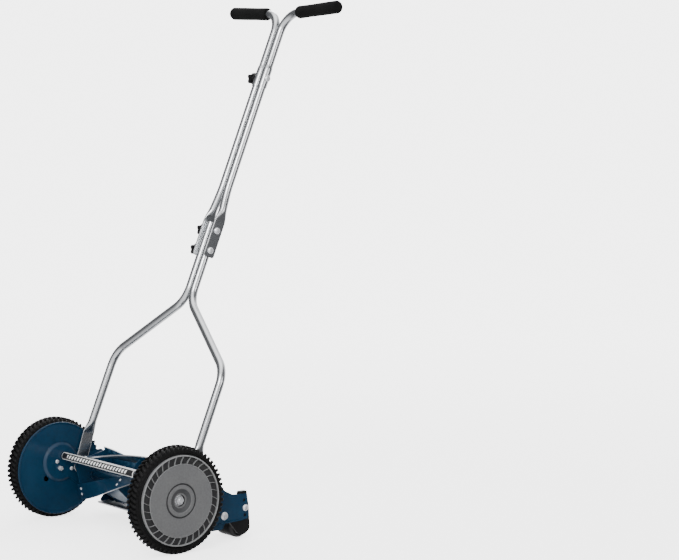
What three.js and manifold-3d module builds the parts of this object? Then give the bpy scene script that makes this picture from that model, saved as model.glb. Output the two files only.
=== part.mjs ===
// Push reel mower: a reel between two side plates, two driving wheels, a tube handle and a rear roller.
// Millimetres. +X is the operator's left, -Y the way it cuts, +Z up.
// Every piece is laid out around the wheel axle line, then the whole is moved so that its origin is
// at the middle of the ground face of its box.
import * as THREE from 'three';
import { mergeVertices } from 'three/addons/utils/BufferGeometryUtils.js';
import Module from 'manifold-3d';

const wasm = await Module();
wasm.setup();

// ---- driving dimensions -------------------------------------------------------------------------
const gap = 0.3;                     // clearance between pieces that touch

const tyreRadius = 107.95;           // 8 1/2 inch wheel
const tyreInnerRadius = 93.7;
const tyreInside = 220.5;            // distance of the tyre's inner face from the middle plane
const tyreOutside = 252;
const rimRadius = tyreInnerRadius - gap;
const hubRadius = 17;
const spindleRadius = 6.35;          // 1/2 inch stub axle
const coverRadius = 90.6;
const coverFace = 257;

const gearTeeth = 48;                // internal ring gear in the wheel
const pinionTeeth = 8;
const gearFrom = 222;
const gearTo = 231.5;

const reelY = 70;                    // reel axis, behind and below the axle
const reelZ = -15;
const reelRadius = 63;
const reelHalfLength = 190;
const bladeCount = 4;
const bladeWidth = 36;
const bladeThickness = 3;
const twistPerMm = -0.3237;          // degrees of helix per millimetre of +X
const shaftRadius = 7.9;
const shaftEndRadius = 5.8;

const sheet = 2;                     // side plate steel
const plateInside = 211;             // inner face of the flat part of the side plate
const dishInside = 215.5;            // inner face of the dust cover part of the side plate
const dishRadius = 99.7;
const bossY = 4;
const bossZ = 13;
const bossRadius = 38;

const bossStud = { y: -7, z: 15 };     // studs that hold the stub axle's flange
const axleStud = { y: 28.5, z: -3.5 };

const tieBarY = 10;
const tieBarZ = 26;
const tieBarRadius = 9.5;             // 3/4 inch

const pivotY = 48;                   // where the handle is hinged on the side plates
const pivotZ = 0;

const tubeRadius = 8.75;             // 11/16 inch handle tube
const tubeBore = 7.55;
const flatHalfThickness = 1.6;
const flatHalfWidth = 14;
const handleTilt = THREE.MathUtils.degToRad(22.6);
const handleFootY = 39;              // the handle's plane crosses the axle height here
const legX = 205;
const legFlatX = plateInside - gap - flatHalfThickness;
const pairX = 9.1;                   // the two lower tubes side by side
const upperPairX = 10.35;
const bendRadius = 58;
const middleJoint = { low: 497, boltA: 511, boltB: 555.5, top: 573 };   // along the handle
const topJoint = { low: 886, bolt: 905, top: 928 };
const gripAxis = 1056;               // along the handle, where the grips' line crosses the tubes
const gripBend = 45;
const gripRise = THREE.MathUtils.degToRad(3);
const gripLength = 134;
const gripRadius = 13.8;

const frontBolt = { y: 133.5, z: -54 };  // carries the roller bracket and the cutter bar
const rearBolt = { y: 186, z: -43 };     // sets the cutting height
const heightStep = 16;                   // pitch of the height holes
const slotSwing = THREE.MathUtils.degToRad(9);
const bracketInside = 203.5;
const bracketOutside = plateInside - gap;

const rollerY = 184;
const rollerZ = -85;
const rollerRadius = 22.95;
const rodRadius = 4;
const outerRoller = { from: 136, to: 196 };
const middleRollerHalf = 86;

const lipY = 79.5;                   // cutting edge of the bed knife
const knifeThickness = 3;
const knifeDepth = 29;
const knifeHalfLength = 188;
const barHalfLength = 203;

// ---- materials ----------------------------------------------------------------------------------
function finish(colour, roughness, metalness) {
  return new THREE.MeshStandardMaterial({ color: colour, roughness, metalness });
}
const paintedSteel = () => finish(0x0b4266, 0.42, 0.15);
const zincSteel = () => finish(0xc9cdd0, 0.3, 1.0);
const tubeSteel = () => finish(0xb9bcbe, 0.22, 1.0);
const groundSteel = () => finish(0x8f9499, 0.35, 1.0);
const castSteel = () => finish(0x55585b, 0.5, 0.9);
const tyreRubber = () => finish(0x161616, 0.85, 0.0);
const coverPlastic = () => finish(0x7f8183, 0.55, 0.0);
const blackPlastic = () => finish(0x1a1a1b, 0.5, 0.0);
const foam = () => finish(0x101011, 0.95, 0.0);

// ---- geometry helpers ---------------------------------------------------------------------------
// Position-only geometry with shared vertices and without empty triangles.
function weld(geometry) {
  const bare = geometry.clone();
  bare.deleteAttribute('normal');
  bare.deleteAttribute('uv');
  const merged = mergeVertices(bare, 1e-4);
  const source = merged.index.array;
  const kept = [];
  for (let i = 0; i < source.length; i += 3) {
    const [a, b, c] = [source[i], source[i + 1], source[i + 2]];
    if (a !== b && b !== c && a !== c) kept.push(a, b, c);
  }
  merged.setIndex(kept);
  return volume(merged) < 0 ? flipped(merged) : merged;
}

function volume(geometry) {
  const p = geometry.attributes.position;
  const index = geometry.index.array;
  const [a, b, c] = [new THREE.Vector3(), new THREE.Vector3(), new THREE.Vector3()];
  let sum = 0;
  for (let i = 0; i < index.length; i += 3) {
    a.fromBufferAttribute(p, index[i]);
    b.fromBufferAttribute(p, index[i + 1]);
    c.fromBufferAttribute(p, index[i + 2]);
    sum += a.dot(b.cross(c));
  }
  return sum / 6;
}

function flipped(geometry) {
  const index = Array.from(geometry.index.array);
  for (let i = 0; i < index.length; i += 3) {
    [index[i + 1], index[i + 2]] = [index[i + 2], index[i + 1]];
  }
  geometry.setIndex(index);
  return geometry;
}

function toSolid(geometry) {
  const g = weld(geometry);
  return new wasm.Manifold(new wasm.Mesh({
    numProp: 3,
    vertProperties: Float32Array.from(g.attributes.position.array),
    triVerts: Uint32Array.from(g.index.array),
  }));
}

function toGeometry(solid) {
  const mesh = solid.getMesh();
  const geometry = new THREE.BufferGeometry();
  geometry.setAttribute('position', new THREE.BufferAttribute(Float32Array.from(mesh.vertProperties), 3));
  geometry.setIndex(Array.from(mesh.triVerts));
  return geometry;
}

function joined(first, ...others) {
  return toGeometry(others.reduce((sum, g) => sum.add(toSolid(g)), toSolid(first)));
}

function cut(body, ...tools) {
  return toGeometry(tools.reduce((left, g) => left.subtract(toSolid(g)), toSolid(body)));
}

// A lathe about a line parallel to X: profile points are [radius, distance from the middle plane].
function turned(profile, side, y = 0, z = 0, segments = 20) {
  const points = profile.map(([r, u]) => new THREE.Vector2(r, u));
  const closesOnItself = profile[0][0] > 0;
  if (closesOnItself) points.push(points[0].clone());
  const geometry = weld(new THREE.LatheGeometry(points, segments));
  geometry.rotateZ(-side * Math.PI / 2);
  geometry.translate(0, y, z);
  return geometry;
}

// A plate in the Y-Z plane: its inner face is at inner, its thickness goes outboard.
function plate(shape, inner, thickness, side, curveSegments = 3) {
  const geometry = new THREE.ExtrudeGeometry(shape, { depth: thickness, bevelEnabled: false, curveSegments });
  const toSide = new THREE.Matrix4().set(0, 0, 1, 0, 1, 0, 0, 0, 0, 1, 0, 0, 0, 0, 0, 1);
  geometry.applyMatrix4(toSide);
  geometry.translate(side > 0 ? inner : -inner - thickness, 0, 0);
  return weld(geometry);
}

// Radius of a many-sided hole whose flats clear a round of the given radius.
function clearing(radius, segments) {
  return radius / Math.cos(Math.PI / segments);
}

// A lathe with a flat at its very bottom, its flats at the profile's radii.
function rolling(profile, side, y, z, segments) {
  const wide = profile.map(([r, u]) => [clearing(r, segments), u]);
  const geometry = turned(wide, side, 0, 0, segments);
  geometry.rotateX(Math.PI / segments);
  geometry.translate(0, y, z);
  return geometry;
}

function drill(radius, y, z, from, to, side, segments = 8) {
  const r = clearing(radius, segments);
  return turned([[0, from], [r, from], [r, to], [0, to]], side, y, z, segments);
}

// A closed outline through points, with each corner rounded by its own radius.
function roundedOutline(points) {
  const shape = new THREE.Shape();
  const count = points.length;
  for (let i = 0; i < count; i += 1) {
    const [x, y, radius] = points[i];
    const corner = new THREE.Vector2(x, y);
    const before = new THREE.Vector2(...points[(i + count - 1) % count]).sub(corner);
    const after = new THREE.Vector2(...points[(i + 1) % count]).sub(corner);
    const half = Math.acos(before.clone().normalize().dot(after.clone().normalize())) / 2;
    const reach = Math.min(radius / Math.tan(half), before.length() * 0.49, after.length() * 0.49);
    const start = corner.clone().add(before.setLength(reach));
    const end = corner.clone().add(after.setLength(reach));
    if (i === 0) shape.moveTo(start.x, start.y);
    else shape.lineTo(start.x, start.y);
    shape.quadraticCurveTo(corner.x, corner.y, end.x, end.y);
  }
  return shape;
}

function circleShape(radius, x = 0, y = 0) {
  const shape = new THREE.Shape();
  shape.absarc(x, y, radius, 0, Math.PI * 2, false);
  return shape;
}

function ringSidesShape(radius, count) {
  const shape = new THREE.Shape();
  for (let i = 0; i < count; i += 1) {
    const angle = (i / count) * Math.PI * 2;
    shape[i === 0 ? 'moveTo' : 'lineTo'](radius * Math.cos(angle), radius * Math.sin(angle));
  }
  return shape;
}

function hexShape(acrossFlats) {
  return ringSidesShape(acrossFlats / 2 / Math.cos(Math.PI / 6), 6);
}

const group = new THREE.Group();
function add(name, geometry, material) {
  const mesh = new THREE.Mesh(geometry, material);
  mesh.name = name;
  group.add(mesh);
  return mesh;
}
const sides = [['left', 1], ['right', -1]];

// ---- gears --------------------------------------------------------------------------------------
const centreDistance = Math.hypot(reelY, reelZ);
const gearModule = 2 * centreDistance / (gearTeeth - pinionTeeth);
const gearPitch = gearModule * gearTeeth / 2;
const pinionPitch = gearModule * pinionTeeth / 2;
const meshAngle = Math.atan2(reelZ, reelY);
const addendum = 0.75 * gearModule;
const dedendum = 1.0 * gearModule;

// Toothed outline: low and high are the two radii, the fractions are how much of a pitch is high.
function toothOutline(target, teeth, low, high, lowShare, highShare, phase) {
  const pitch = 2 * Math.PI / teeth;
  for (let i = 0; i < teeth; i += 1) {
    const centre = phase + i * pitch;
    const corners = [
      [low, centre - lowShare * pitch / 2], [high, centre - highShare * pitch / 2],
      [high, centre + highShare * pitch / 2], [low, centre + lowShare * pitch / 2],
    ];
    corners.forEach(([r, a], k) => {
      const verb = i === 0 && k === 0 ? 'moveTo' : 'lineTo';
      target[verb](r * Math.cos(a), r * Math.sin(a));
    });
  }
  return target;
}

function wheelGeometry(side) {
  const ring = circleShape(rimRadius);
  const spaces = toothOutline(new THREE.Path(), gearTeeth, gearPitch - addendum, gearPitch + dedendum,
    0.66, 0.44, meshAngle);
  ring.holes.push(spaces);
  const gear = plate(ring, gearFrom, gearTo - gearFrom, side, 12);
  const web = 236;
  const webThickness = 3.2;
  const wall = rimRadius - 3;
  const dish = turned([
    [spindleRadius + gap, 221], [hubRadius, 221], [hubRadius, web], [wall, web], [wall, gearTo - 1],
    [rimRadius, gearTo - 1], [rimRadius, 249.7], [wall, 249.7], [wall, web + webThickness],
    [hubRadius, web + webThickness], [hubRadius, 245], [spindleRadius + gap, 245],
  ], side, 0, 0, 24);
  return joined(gear, dish);
}

function tyreGeometry(side) {
  const shoulder = 8;
  const middle = (tyreInside + tyreOutside) / 2;
  const half = (tyreOutside - tyreInside) / 2;
  const flank = half - 3.5;
  const profile = [
    [tyreInnerRadius, middle - half + 1], [tyreRadius - shoulder, middle - half],
    [tyreRadius - 2.4, middle - flank], [tyreRadius, middle - flank + 5], [tyreRadius, middle + flank - 5],
    [tyreRadius - 2.4, middle + flank], [tyreRadius - shoulder, middle + half],
    [tyreInnerRadius, middle + half - 1],
  ];
  return rolling(profile, side, 0, 0, 36);
}

function coverGeometry(side) {
  const back = 250;
  return turned([
    [13.5, back], [coverRadius, back], [coverRadius, coverFace], [coverRadius - 4, coverFace],
    [coverRadius - 4.5, coverFace - 3.5], [74, coverFace - 3.5], [73.4, coverFace - 0.3],
    [24.6, coverFace - 0.3], [22.5, coverFace - 3], [13.5, coverFace - 5.4],
  ], side, 0, 0, 24);
}

for (const [name, side] of sides) {
  add(`wheel_${name}`, wheelGeometry(side), blackPlastic());
  add(`tyre_${name}`, tyreGeometry(side), tyreRubber());
  add(`wheel_cover_${name}`, coverGeometry(side), coverPlastic());
}

// ---- side plates --------------------------------------------------------------------------------
function sidePlateGeometry(side) {
  const dish = circleShape(dishRadius - 2);
  dish.holes.push(circleShape(bossRadius + 4.5, bossY, bossZ));
  const dishSheet = plate(dish, dishInside, sheet, side, 12);
  const bossSheet = turned([
    [0, plateInside], [bossRadius, plateInside], [bossRadius + 5, dishInside], [bossRadius + 5, dishInside + sheet],
    [bossRadius, plateInside + sheet], [0, plateInside + sheet],
  ], side, bossY, bossZ, 20);
  const rim = turned([
    [dishRadius - 5, dishInside + 0.5], [dishRadius - 2.6, 213.2], [dishRadius, 214.2], [dishRadius, 218],
    [dishRadius - 2.6, 218.6], [dishRadius - 5, dishInside + sheet - 0.3],
  ], side, 0, 0, 24);
  const arm = plate(roundedOutline([
    [18, 34, 4], [58, 25, 10], [104, 32, 10], [118, 22, 10], [134, -2, 14], [155, -12.5, 8], [191, -14, 3],
    [193, -66, 4], [118, -70, 12], [60, -52, 20], [22, -12, 6],
  ]), plateInside, sheet, side);
  const lipHeight = 4.6;
  const bottomLip = plate(roundedOutline([
    [119, -69.7, 1], [119, -67.5, 1], [180, -65, 1], [180, -67.1, 1],
  ]), plateInside + 0.2, lipHeight, side);
  const holes = [
    drill(12.8, reelY, reelZ, 200, 222, side, 16),
    drill(5.3, 0, 0, 200, 222, side),
    drill(5.3, bossStud.y, bossStud.z, 205, 214.5, side),
    drill(5.3, axleStud.y, axleStud.z, 205, 214.5, side),
    drill(6.3, tieBarY, tieBarZ, 200, 222, side),
    drill(4.3, pivotY, pivotZ, 200, 222, side),
    drill(4.3, frontBolt.y, frontBolt.z, 200, 222, side),
    drill(4.3, rearBolt.y, rearBolt.z, 200, 222, side),
    drill(3.4, rearBolt.y - 2.6, rearBolt.z + heightStep, 200, 222, side),
    drill(3.4, rearBolt.y - 1, rearBolt.z - heightStep + 1, 200, 222, side),
    drill(6.5, -31, -20, 212, 222, side, 12),
  ];
  return cut(joined(dishSheet, bossSheet, rim, arm, bottomLip), ...holes);
}

// The stub axle: a forged flange on the outboard face with two riveted-over studs, and the spindle.
function stubAxleGeometry(side) {
  const face = plateInside + sheet + gap;
  const flange = plate(roundedOutline([
    [-14, 6, 5], [-10, 23, 5], [8, 12, 6], [34, 4, 5], [36, -8, 5], [8, -13, 6], [-11, -9, 6],
  ]), face, 3, side);
  const spindle = turned([
    [0, 204.5], [5, 204.5], [5, face + 1], [10, face + 1], [10, 219.4], [spindleRadius, 219.4],
    [spindleRadius, 245.6], [5, 245.6], [5, 255.4], [0, 255.4],
  ], side, 0, 0, 12);
  const studs = [bossStud, axleStud].map(({ y, z }) => turned([
    [0, 207.4], [4.2, 208.6], [4.2, plateInside - gap], [4, plateInside - gap], [4, face + 1], [0, face + 1],
  ], side, y, z, 8));
  return joined(flange, spindle, ...studs);
}

function nutGeometry(acrossFlats, bore, flangeRadius, from, height, side) {
  const flange = turned([
    [0, from], [flangeRadius, from], [flangeRadius, from + 1.2], [flangeRadius - 1.5, from + 1.8], [0, from + 1.8],
  ], side, 0, 0, 16);
  const hex = plate(hexShape(acrossFlats), from + 1.2, height - 1.2, side);
  return cut(joined(flange, hex), drill(bore, 0, 0, from - 1, from + height + 1, side, 12));
}

// A bolt along X with a domed head outboard and a nut at its inboard end.
function boltGeometry(y, z, { shank, from, to, headRadius, headHeight, nutRadius, nutHeight }, side) {
  return turned([
    [0, from], [shank, from], [shank, from + 2], [nutRadius, from + 2], [nutRadius, from + 2 + nutHeight],
    [shank, from + 2 + nutHeight], [shank, to], [headRadius, to], [headRadius * 0.6, to + headHeight],
    [0, to + headHeight],
  ], side, y, z, 10);
}

for (const [name, side] of sides) {
  add(`side_plate_${name}`, sidePlateGeometry(side), paintedSteel());
  add(`stub_axle_${name}`, stubAxleGeometry(side), zincSteel());
  add(`axle_nut_${name}`, nutGeometry(16, 5 + gap, 11.3, 246.3, 7, side), zincSteel());
  add(`handle_pivot_bolt_${name}`, boltGeometry(pivotY, pivotZ, {
    shank: 4, from: 200, to: plateInside + sheet + gap, headRadius: 4.9, headHeight: 1.6, nutRadius: 6.8, nutHeight: 5,
  }, side), zincSteel());
  add(`bracket_bolt_${name}`, boltGeometry(frontBolt.y, frontBolt.z, {
    shank: 4, from: 191.6, to: plateInside + sheet + gap, headRadius: 8.5, headHeight: 4.2, nutRadius: 6.8, nutHeight: 5,
  }, side), zincSteel());
  add(`height_bolt_${name}`, boltGeometry(rearBolt.y, rearBolt.z, {
    shank: 3.2, from: 195.2, to: plateInside + sheet + gap, headRadius: 6.8, headHeight: 4, nutRadius: 6, nutHeight: 5,
  }, side), zincSteel());
}

const tieBarEnd = plateInside - gap;
add('tie_bar', turned([
  [0, -tieBarEnd - 6.5], [6, -tieBarEnd - 6.5], [6, -tieBarEnd], [tieBarRadius, -tieBarEnd],
  [tieBarRadius, tieBarEnd], [6, tieBarEnd], [6, tieBarEnd + 6.5], [0, tieBarEnd + 6.5],
], 1, tieBarY, tieBarZ, 20), tubeSteel());

// ---- reel ---------------------------------------------------------------------------------------
// Everything on the reel is drawn untwisted around the X axis, then turned by its distance along X.
function twistedOntoReel(geometry, phaseDegrees) {
  const p = geometry.attributes.position;
  for (let i = 0; i < p.count; i += 1) {
    const angle = THREE.MathUtils.degToRad(phaseDegrees + twistPerMm * p.getX(i));
    const [y, z] = [p.getY(i), p.getZ(i)];
    p.setY(i, reelY + y * Math.cos(angle) - z * Math.sin(angle));
    p.setZ(i, reelZ + y * Math.sin(angle) + z * Math.cos(angle));
  }
  return geometry;
}

function alongX(shape, from, to, steps) {
  const geometry = new THREE.ExtrudeGeometry(shape, { depth: to - from, steps, bevelEnabled: false, curveSegments: 2 });
  geometry.applyMatrix4(new THREE.Matrix4().set(0, 0, 1, from, 1, 0, 0, 0, 0, 1, 0, 0, 0, 0, 0, 1));
  return weld(geometry);
}

// Each blade lies along one side of a square with its corners on the reel's circle. Its cutting edge
// is at the leading corner, where the ground land follows the circle.
const blockHalf = reelRadius * Math.SQRT1_2;
function bladeShape() {
  const shape = new THREE.Shape();
  const depth = blockHalf - bladeThickness;
  shape.moveTo(blockHalf - 0.4, blockHalf - 0.4);
  shape.lineTo(depth, blockHalf - 0.2 - bladeThickness * 0.2);
  shape.lineTo(depth - 0.4, blockHalf - bladeWidth + 0.4);
  shape.lineTo(blockHalf - 0.8, blockHalf - bladeWidth);
  shape.lineTo(blockHalf, blockHalf - 6);
  return shape;
}
const seat = blockHalf - bladeThickness - gap - 0.5;
const spiderSheet = 2.5;
const tabLength = 15;
function spiderGeometry(x, tabSide) {
  const body = roundedOutline([[seat, seat, 3], [-seat, seat, 3], [-seat, -seat, 3], [seat, -seat, 3]]);
  body.holes.push(ringSidesShape(clearing(shaftRadius + gap, 14), 14));
  const web = alongX(body, x - spiderSheet / 2, x + spiderSheet / 2, 1);
  const tab = new THREE.Shape();
  tab.moveTo(seat, seat - 4);
  tab.lineTo(seat - 2.4, seat - 4);
  tab.lineTo(seat - 2.4, seat - 28);
  tab.lineTo(seat, seat - 28);
  const tabs = [];
  for (let k = 0; k < bladeCount; k += 1) {
    const from = Math.min(x, x + tabSide * tabLength);
    const flange = alongX(tab, from, from + tabLength, 2);
    flange.rotateX(k * 2 * Math.PI / bladeCount);
    tabs.push(flange);
  }
  const collar = cut(turned([[0, x - 5], [13, x - 5], [13, x + 5], [0, x + 5]], 1, 0, 0, 14),
    drill(shaftRadius + gap, 0, 0, x - 9, x + 9, 1, 14));
  return twistedOntoReel(joined(web, collar, ...tabs), 135);
}

for (let k = 0; k < bladeCount; k += 1) {
  const blade = alongX(bladeShape(), -reelHalfLength, reelHalfLength, 16);
  add(`reel_blade_${k + 1}`, twistedOntoReel(blade, 135 + k * 360 / bladeCount), paintedSteel());
}
const spiderX = reelHalfLength - 7;
add('reel_spider_left', spiderGeometry(spiderX, -1), paintedSteel());
add('reel_spider_middle', spiderGeometry(0, -1), paintedSteel());
add('reel_spider_right', spiderGeometry(-spiderX, 1), paintedSteel());

function reelShaftGeometry() {
  const end = 233;
  const shoulder = 209.5;
  const shaft = turned([
    [0, -end], [shaftEndRadius, -end], [shaftEndRadius, -shoulder], [shaftRadius, -shoulder],
    [shaftRadius, shoulder], [shaftEndRadius, shoulder], [shaftEndRadius, end], [0, end],
  ], 1, reelY, reelZ, 16);
  const slots = sides.map(([, side]) => {
    const slot = new THREE.BoxGeometry(5.6, 2 * shaftEndRadius + 4, 4.2);
    slot.translate(side * pawlX, reelY, reelZ);
    return slot;
  });
  return cut(shaft, ...slots);
}

// ---- ratchet and pinion inside each wheel -------------------------------------------------------
const pawlX = (gearFrom + gearTo) / 2;
const pawlSize = { along: 5, length: 14.6, width: 3.6 };
const chamberRadius = 6.9;
const notchReach = 9.1;
function pinionGeometry(side) {
  const gear = toothOutline(new THREE.Shape(), pinionTeeth, pinionPitch - dedendum, pinionPitch + addendum,
    0.6, 0.26, meshAngle);
  gear.holes.push(ringSidesShape(clearing(shaftEndRadius + gap, 14), 14));
  const blank = plate(gear, gearFrom + 0.5, gearTo - gearFrom - 1, side);
  blank.translate(0, reelY, reelZ);
  const chamber = drill(chamberRadius, reelY, reelZ, pawlX - 2.9, pawlX + 2.9, side, 12);
  const notches = [0, 1, 2].map((k) => {
    const notch = new THREE.BoxGeometry(5.8, 2 * notchReach, 4.4);
    notch.rotateX(k * Math.PI / 3);
    notch.translate(side * pawlX, reelY, reelZ);
    return notch;
  });
  return cut(blank, chamber, ...notches);
}

add('reel_shaft', reelShaftGeometry(), zincSteel());
const coneBore = clearing(shaftEndRadius + gap, 12);
const clipBore = clearing(shaftEndRadius + gap, 14);
for (const [name, side] of sides) {
  add(`bearing_cup_${name}`, turned([
    [9, 211.2], [12, 211.2], [12, 217.8], [15, 217.8], [15, 219.4], [9, 219.4],
  ], side, reelY, reelZ, 16), castSteel());
  add(`bearing_cone_${name}`, turned([
    [coneBore, 211.6], [8.3, 211.6], [7.4, 215.5], [8.3, 220.6], [coneBore, 220.6],
  ], side, reelY, reelZ, 12), castSteel());
  add(`pinion_${name}`, pinionGeometry(side), castSteel());
  add(`pinion_clip_${name}`, turned([
    [clipBore, gearTo], [9.5, gearTo], [9.5, gearTo + 0.9], [clipBore, gearTo + 0.9],
  ], side, reelY, reelZ, 14), zincSteel());
  const pawl = new THREE.BoxGeometry(pawlSize.along, pawlSize.length, pawlSize.width);
  pawl.translate(side * pawlX, reelY, reelZ);
  add(`pawl_${name}`, weld(pawl), castSteel());
}

// ---- cutter bar and bed knife -------------------------------------------------------------------
const lipTop = reelZ - Math.sqrt((reelRadius + 0.5) ** 2 - (lipY - reelY) ** 2) - 0.2;
const shelfTop = lipTop - knifeThickness - gap;
function cutterBarGeometry() {
  const section = roundedOutline([
    [lipY + 8, shelfTop, 0.5], [129, shelfTop, 3], [129, -50, 1], [132, -50, 1], [132, shelfTop - 3, 6],
    [lipY + 8, shelfTop - 3, 0.5],
  ]);
  const bar = alongX(section, -barHalfLength + 3.5, barHalfLength - 3.5, 1);
  const ear = roundedOutline([
    [96, shelfTop - 3, 3], [96, shelfTop + 6, 5], [126, -44, 10], [143, -44, 8], [146, -64, 6], [136, shelfTop - 3, 6],
  ]);
  const ears = sides.map(([, side]) => plate(ear, barHalfLength - 3.5 - 0.5, 3.7, side));
  const holes = sides.map(([, side]) => drill(4.3, frontBolt.y, frontBolt.z, 190, 215, side));
  const webCut = sides.map(([, side]) => drill(8.6, frontBolt.y, frontBolt.z, 185, barHalfLength - 4.2, side));
  return cut(joined(bar, ...ears), ...holes, ...webCut);
}
add('cutter_bar', cutterBarGeometry(), paintedSteel());

function bedKnifeGeometry() {
  const section = new THREE.Shape();
  section.moveTo(lipY, lipTop);
  section.lineTo(lipY + knifeDepth, lipTop);
  section.lineTo(lipY + knifeDepth, lipTop - knifeThickness);
  section.lineTo(lipY + 2.4, lipTop - knifeThickness);
  section.lineTo(lipY, lipTop - 0.9);
  return alongX(section, -knifeHalfLength, knifeHalfLength, 1);
}
add('bed_knife', bedKnifeGeometry(), groundSteel());

// ---- handle -------------------------------------------------------------------------------------
// Places on the handle are [x, along, lift]: across, up along the handle's plane, and off that plane.
function handlePoint(x, along, lift = 0) {
  return new THREE.Vector3(
    x,
    handleFootY + along * Math.sin(handleTilt) + lift * Math.cos(handleTilt),
    along * Math.cos(handleTilt) - lift * Math.sin(handleTilt),
  );
}
const handleNormal = new THREE.Vector3(0, Math.cos(handleTilt), -Math.sin(handleTilt));

const roundSection = { outer: [tubeRadius, tubeRadius], inner: [tubeBore, tubeBore] };
const flatSection = { outer: [flatHalfThickness, flatHalfWidth], inner: [0.4, flatHalfWidth - 1.2] };
const socketSection = { outer: [10, 10], inner: [tubeRadius + gap, tubeRadius + gap] };
function blended(a, b, t) {
  const mix = (p, q) => p.map((v, i) => THREE.MathUtils.lerp(v, q[i], t));
  return { outer: mix(a.outer, b.outer), inner: mix(a.inner, b.inner) };
}

// Sweeps a tube through stations of { at, section }: the section's first axis is across the tube in
// the handle's plane, its second along the plane's normal.
function sweptTube(stations, boreSides = 5) {
  const ring = ringSidesShape(1, 10);
  ring.holes.push(ringSidesShape(0.5, boreSides));
  const geometry = new THREE.ExtrudeGeometry(ring, {
    depth: stations.length - 1, steps: stations.length - 1, bevelEnabled: false,
  });
  const p = geometry.attributes.position;
  for (let i = 0; i < p.count; i += 1) {
    const index = Math.round(p.getZ(i));
    const { at, section } = stations[index];
    const back = stations[Math.max(index - 1, 0)].at;
    const ahead = stations[Math.min(index + 1, stations.length - 1)].at;
    const along = ahead.clone().sub(back).normalize();
    const across = new THREE.Vector3().crossVectors(along, handleNormal).normalize();
    const normal = new THREE.Vector3().crossVectors(across, along);
    const [u, v] = [p.getX(i), p.getY(i)];
    const isOuter = Math.hypot(u, v) > 0.75;
    const [a, b] = isOuter ? section.outer : section.inner;
    const scale = isOuter ? 1 : 2;
    const point = at.clone().addScaledVector(across, u * scale * a).addScaledVector(normal, v * scale * b);
    p.setXYZ(i, point.x, point.y, point.z);
  }
  return weld(geometry);
}

// Points of a route in the handle's plane with its corners rounded to a bend radius.
function bentRoute(corners, radius, perBend = 4) {
  const route = [];
  corners.forEach((corner, i) => {
    if (i === 0 || i === corners.length - 1) {
      route.push(corner);
      return;
    }
    const here = new THREE.Vector2(...corner);
    const toLast = new THREE.Vector2(...corners[i - 1]).sub(here).normalize();
    const toNext = new THREE.Vector2(...corners[i + 1]).sub(here).normalize();
    const half = Math.acos(THREE.MathUtils.clamp(toLast.dot(toNext), -1, 1)) / 2;
    const middle = toLast.clone().add(toNext).normalize().multiplyScalar(radius / Math.sin(half)).add(here);
    const start = here.clone().addScaledVector(toLast, radius / Math.tan(half)).sub(middle);
    const turn = (Math.PI - 2 * half) * Math.sign(toNext.cross(toLast));
    for (let k = 0; k <= perBend; k += 1) {
      const spoke = start.clone().rotateAround(new THREE.Vector2(), turn * k / perBend).add(middle);
      route.push([spoke.x, spoke.y]);
    }
  });
  return route;
}

const pivotAlong = (pivotY - handleFootY) * Math.sin(handleTilt);
const pivotLift = (pivotY - handleFootY) * Math.cos(handleTilt);
const flatEnd = 74;
const roundStart = 106;
const lean = (along) => THREE.MathUtils.clamp((roundStart - along) / (roundStart - pivotAlong), 0, 1.2) * pivotLift;

function lowerTubeGeometry(side) {
  const stations = [];
  const flatStart = pivotAlong - flatHalfWidth;
  for (const along of [flatStart, flatStart + 3, flatStart + 8, pivotAlong, flatEnd]) {
    const inFromEnd = flatHalfWidth - (along - flatStart);
    const round = inFromEnd > 0 ? Math.sqrt(Math.max(1 - (inFromEnd / flatHalfWidth) ** 2, 0.12)) : 1;
    const section = {
      outer: [flatHalfThickness, flatHalfWidth * round],
      inner: [0.4, (flatHalfWidth - 1.2) * round],
    };
    stations.push({ at: handlePoint(side * legFlatX, along, lean(along)), section });
  }
  for (const t of [0.3, 0.6, 0.85]) {
    const along = THREE.MathUtils.lerp(flatEnd, roundStart, t);
    const ease = t * t * (3 - 2 * t);
    const x = THREE.MathUtils.lerp(legFlatX, legX, ease);
    stations.push({ at: handlePoint(side * x, along, lean(along)), section: blended(flatSection, roundSection, ease) });
  }
  const route = bentRoute([[legX, roundStart], [legX, 261], [pairX, 398], [pairX, middleJoint.top]], bendRadius);
  for (const [x, along] of route) {
    stations.push({ at: handlePoint(side * x, along), section: roundSection });
  }
  const holes = [
    drill(4.3, pivotY, pivotZ, 190, 220, side),
    ...[middleJoint.boltA, middleJoint.boltB].map((along) => crossDrill(3.5, along)),
  ];
  return cut(sweptTube(stations), ...holes);
}

// A hole or bolt blank right across the handle, on a line parallel to X.
function crossDrill(radius, along) {
  const at = handlePoint(0, along);
  return drill(radius, at.y, at.z, -60, 60, 1);
}

function middleTubeGeometry(side) {
  const flatX = pairX + tubeRadius + gap + flatHalfThickness;
  const stations = [];
  for (const along of [middleJoint.low, middleJoint.top]) {
    stations.push({ at: handlePoint(side * flatX, along), section: flatSection });
  }
  const settle = 660;
  for (const t of [0.12, 0.24, 0.36, 0.55, 0.75, 1]) {
    const along = THREE.MathUtils.lerp(middleJoint.top, settle, t);
    const ease = t * t * (3 - 2 * t);
    const x = THREE.MathUtils.lerp(flatX, upperPairX, ease);
    const round = Math.min(t / 0.36, 1);
    stations.push({ at: handlePoint(side * x, along), section: blended(flatSection, roundSection, round) });
  }
  stations.push({ at: handlePoint(side * upperPairX, topJoint.top - 1), section: roundSection });
  const holes = [middleJoint.boltA, middleJoint.boltB, topJoint.bolt].map((along) => crossDrill(3.5, along));
  return cut(sweptTube(stations), ...holes);
}

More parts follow.
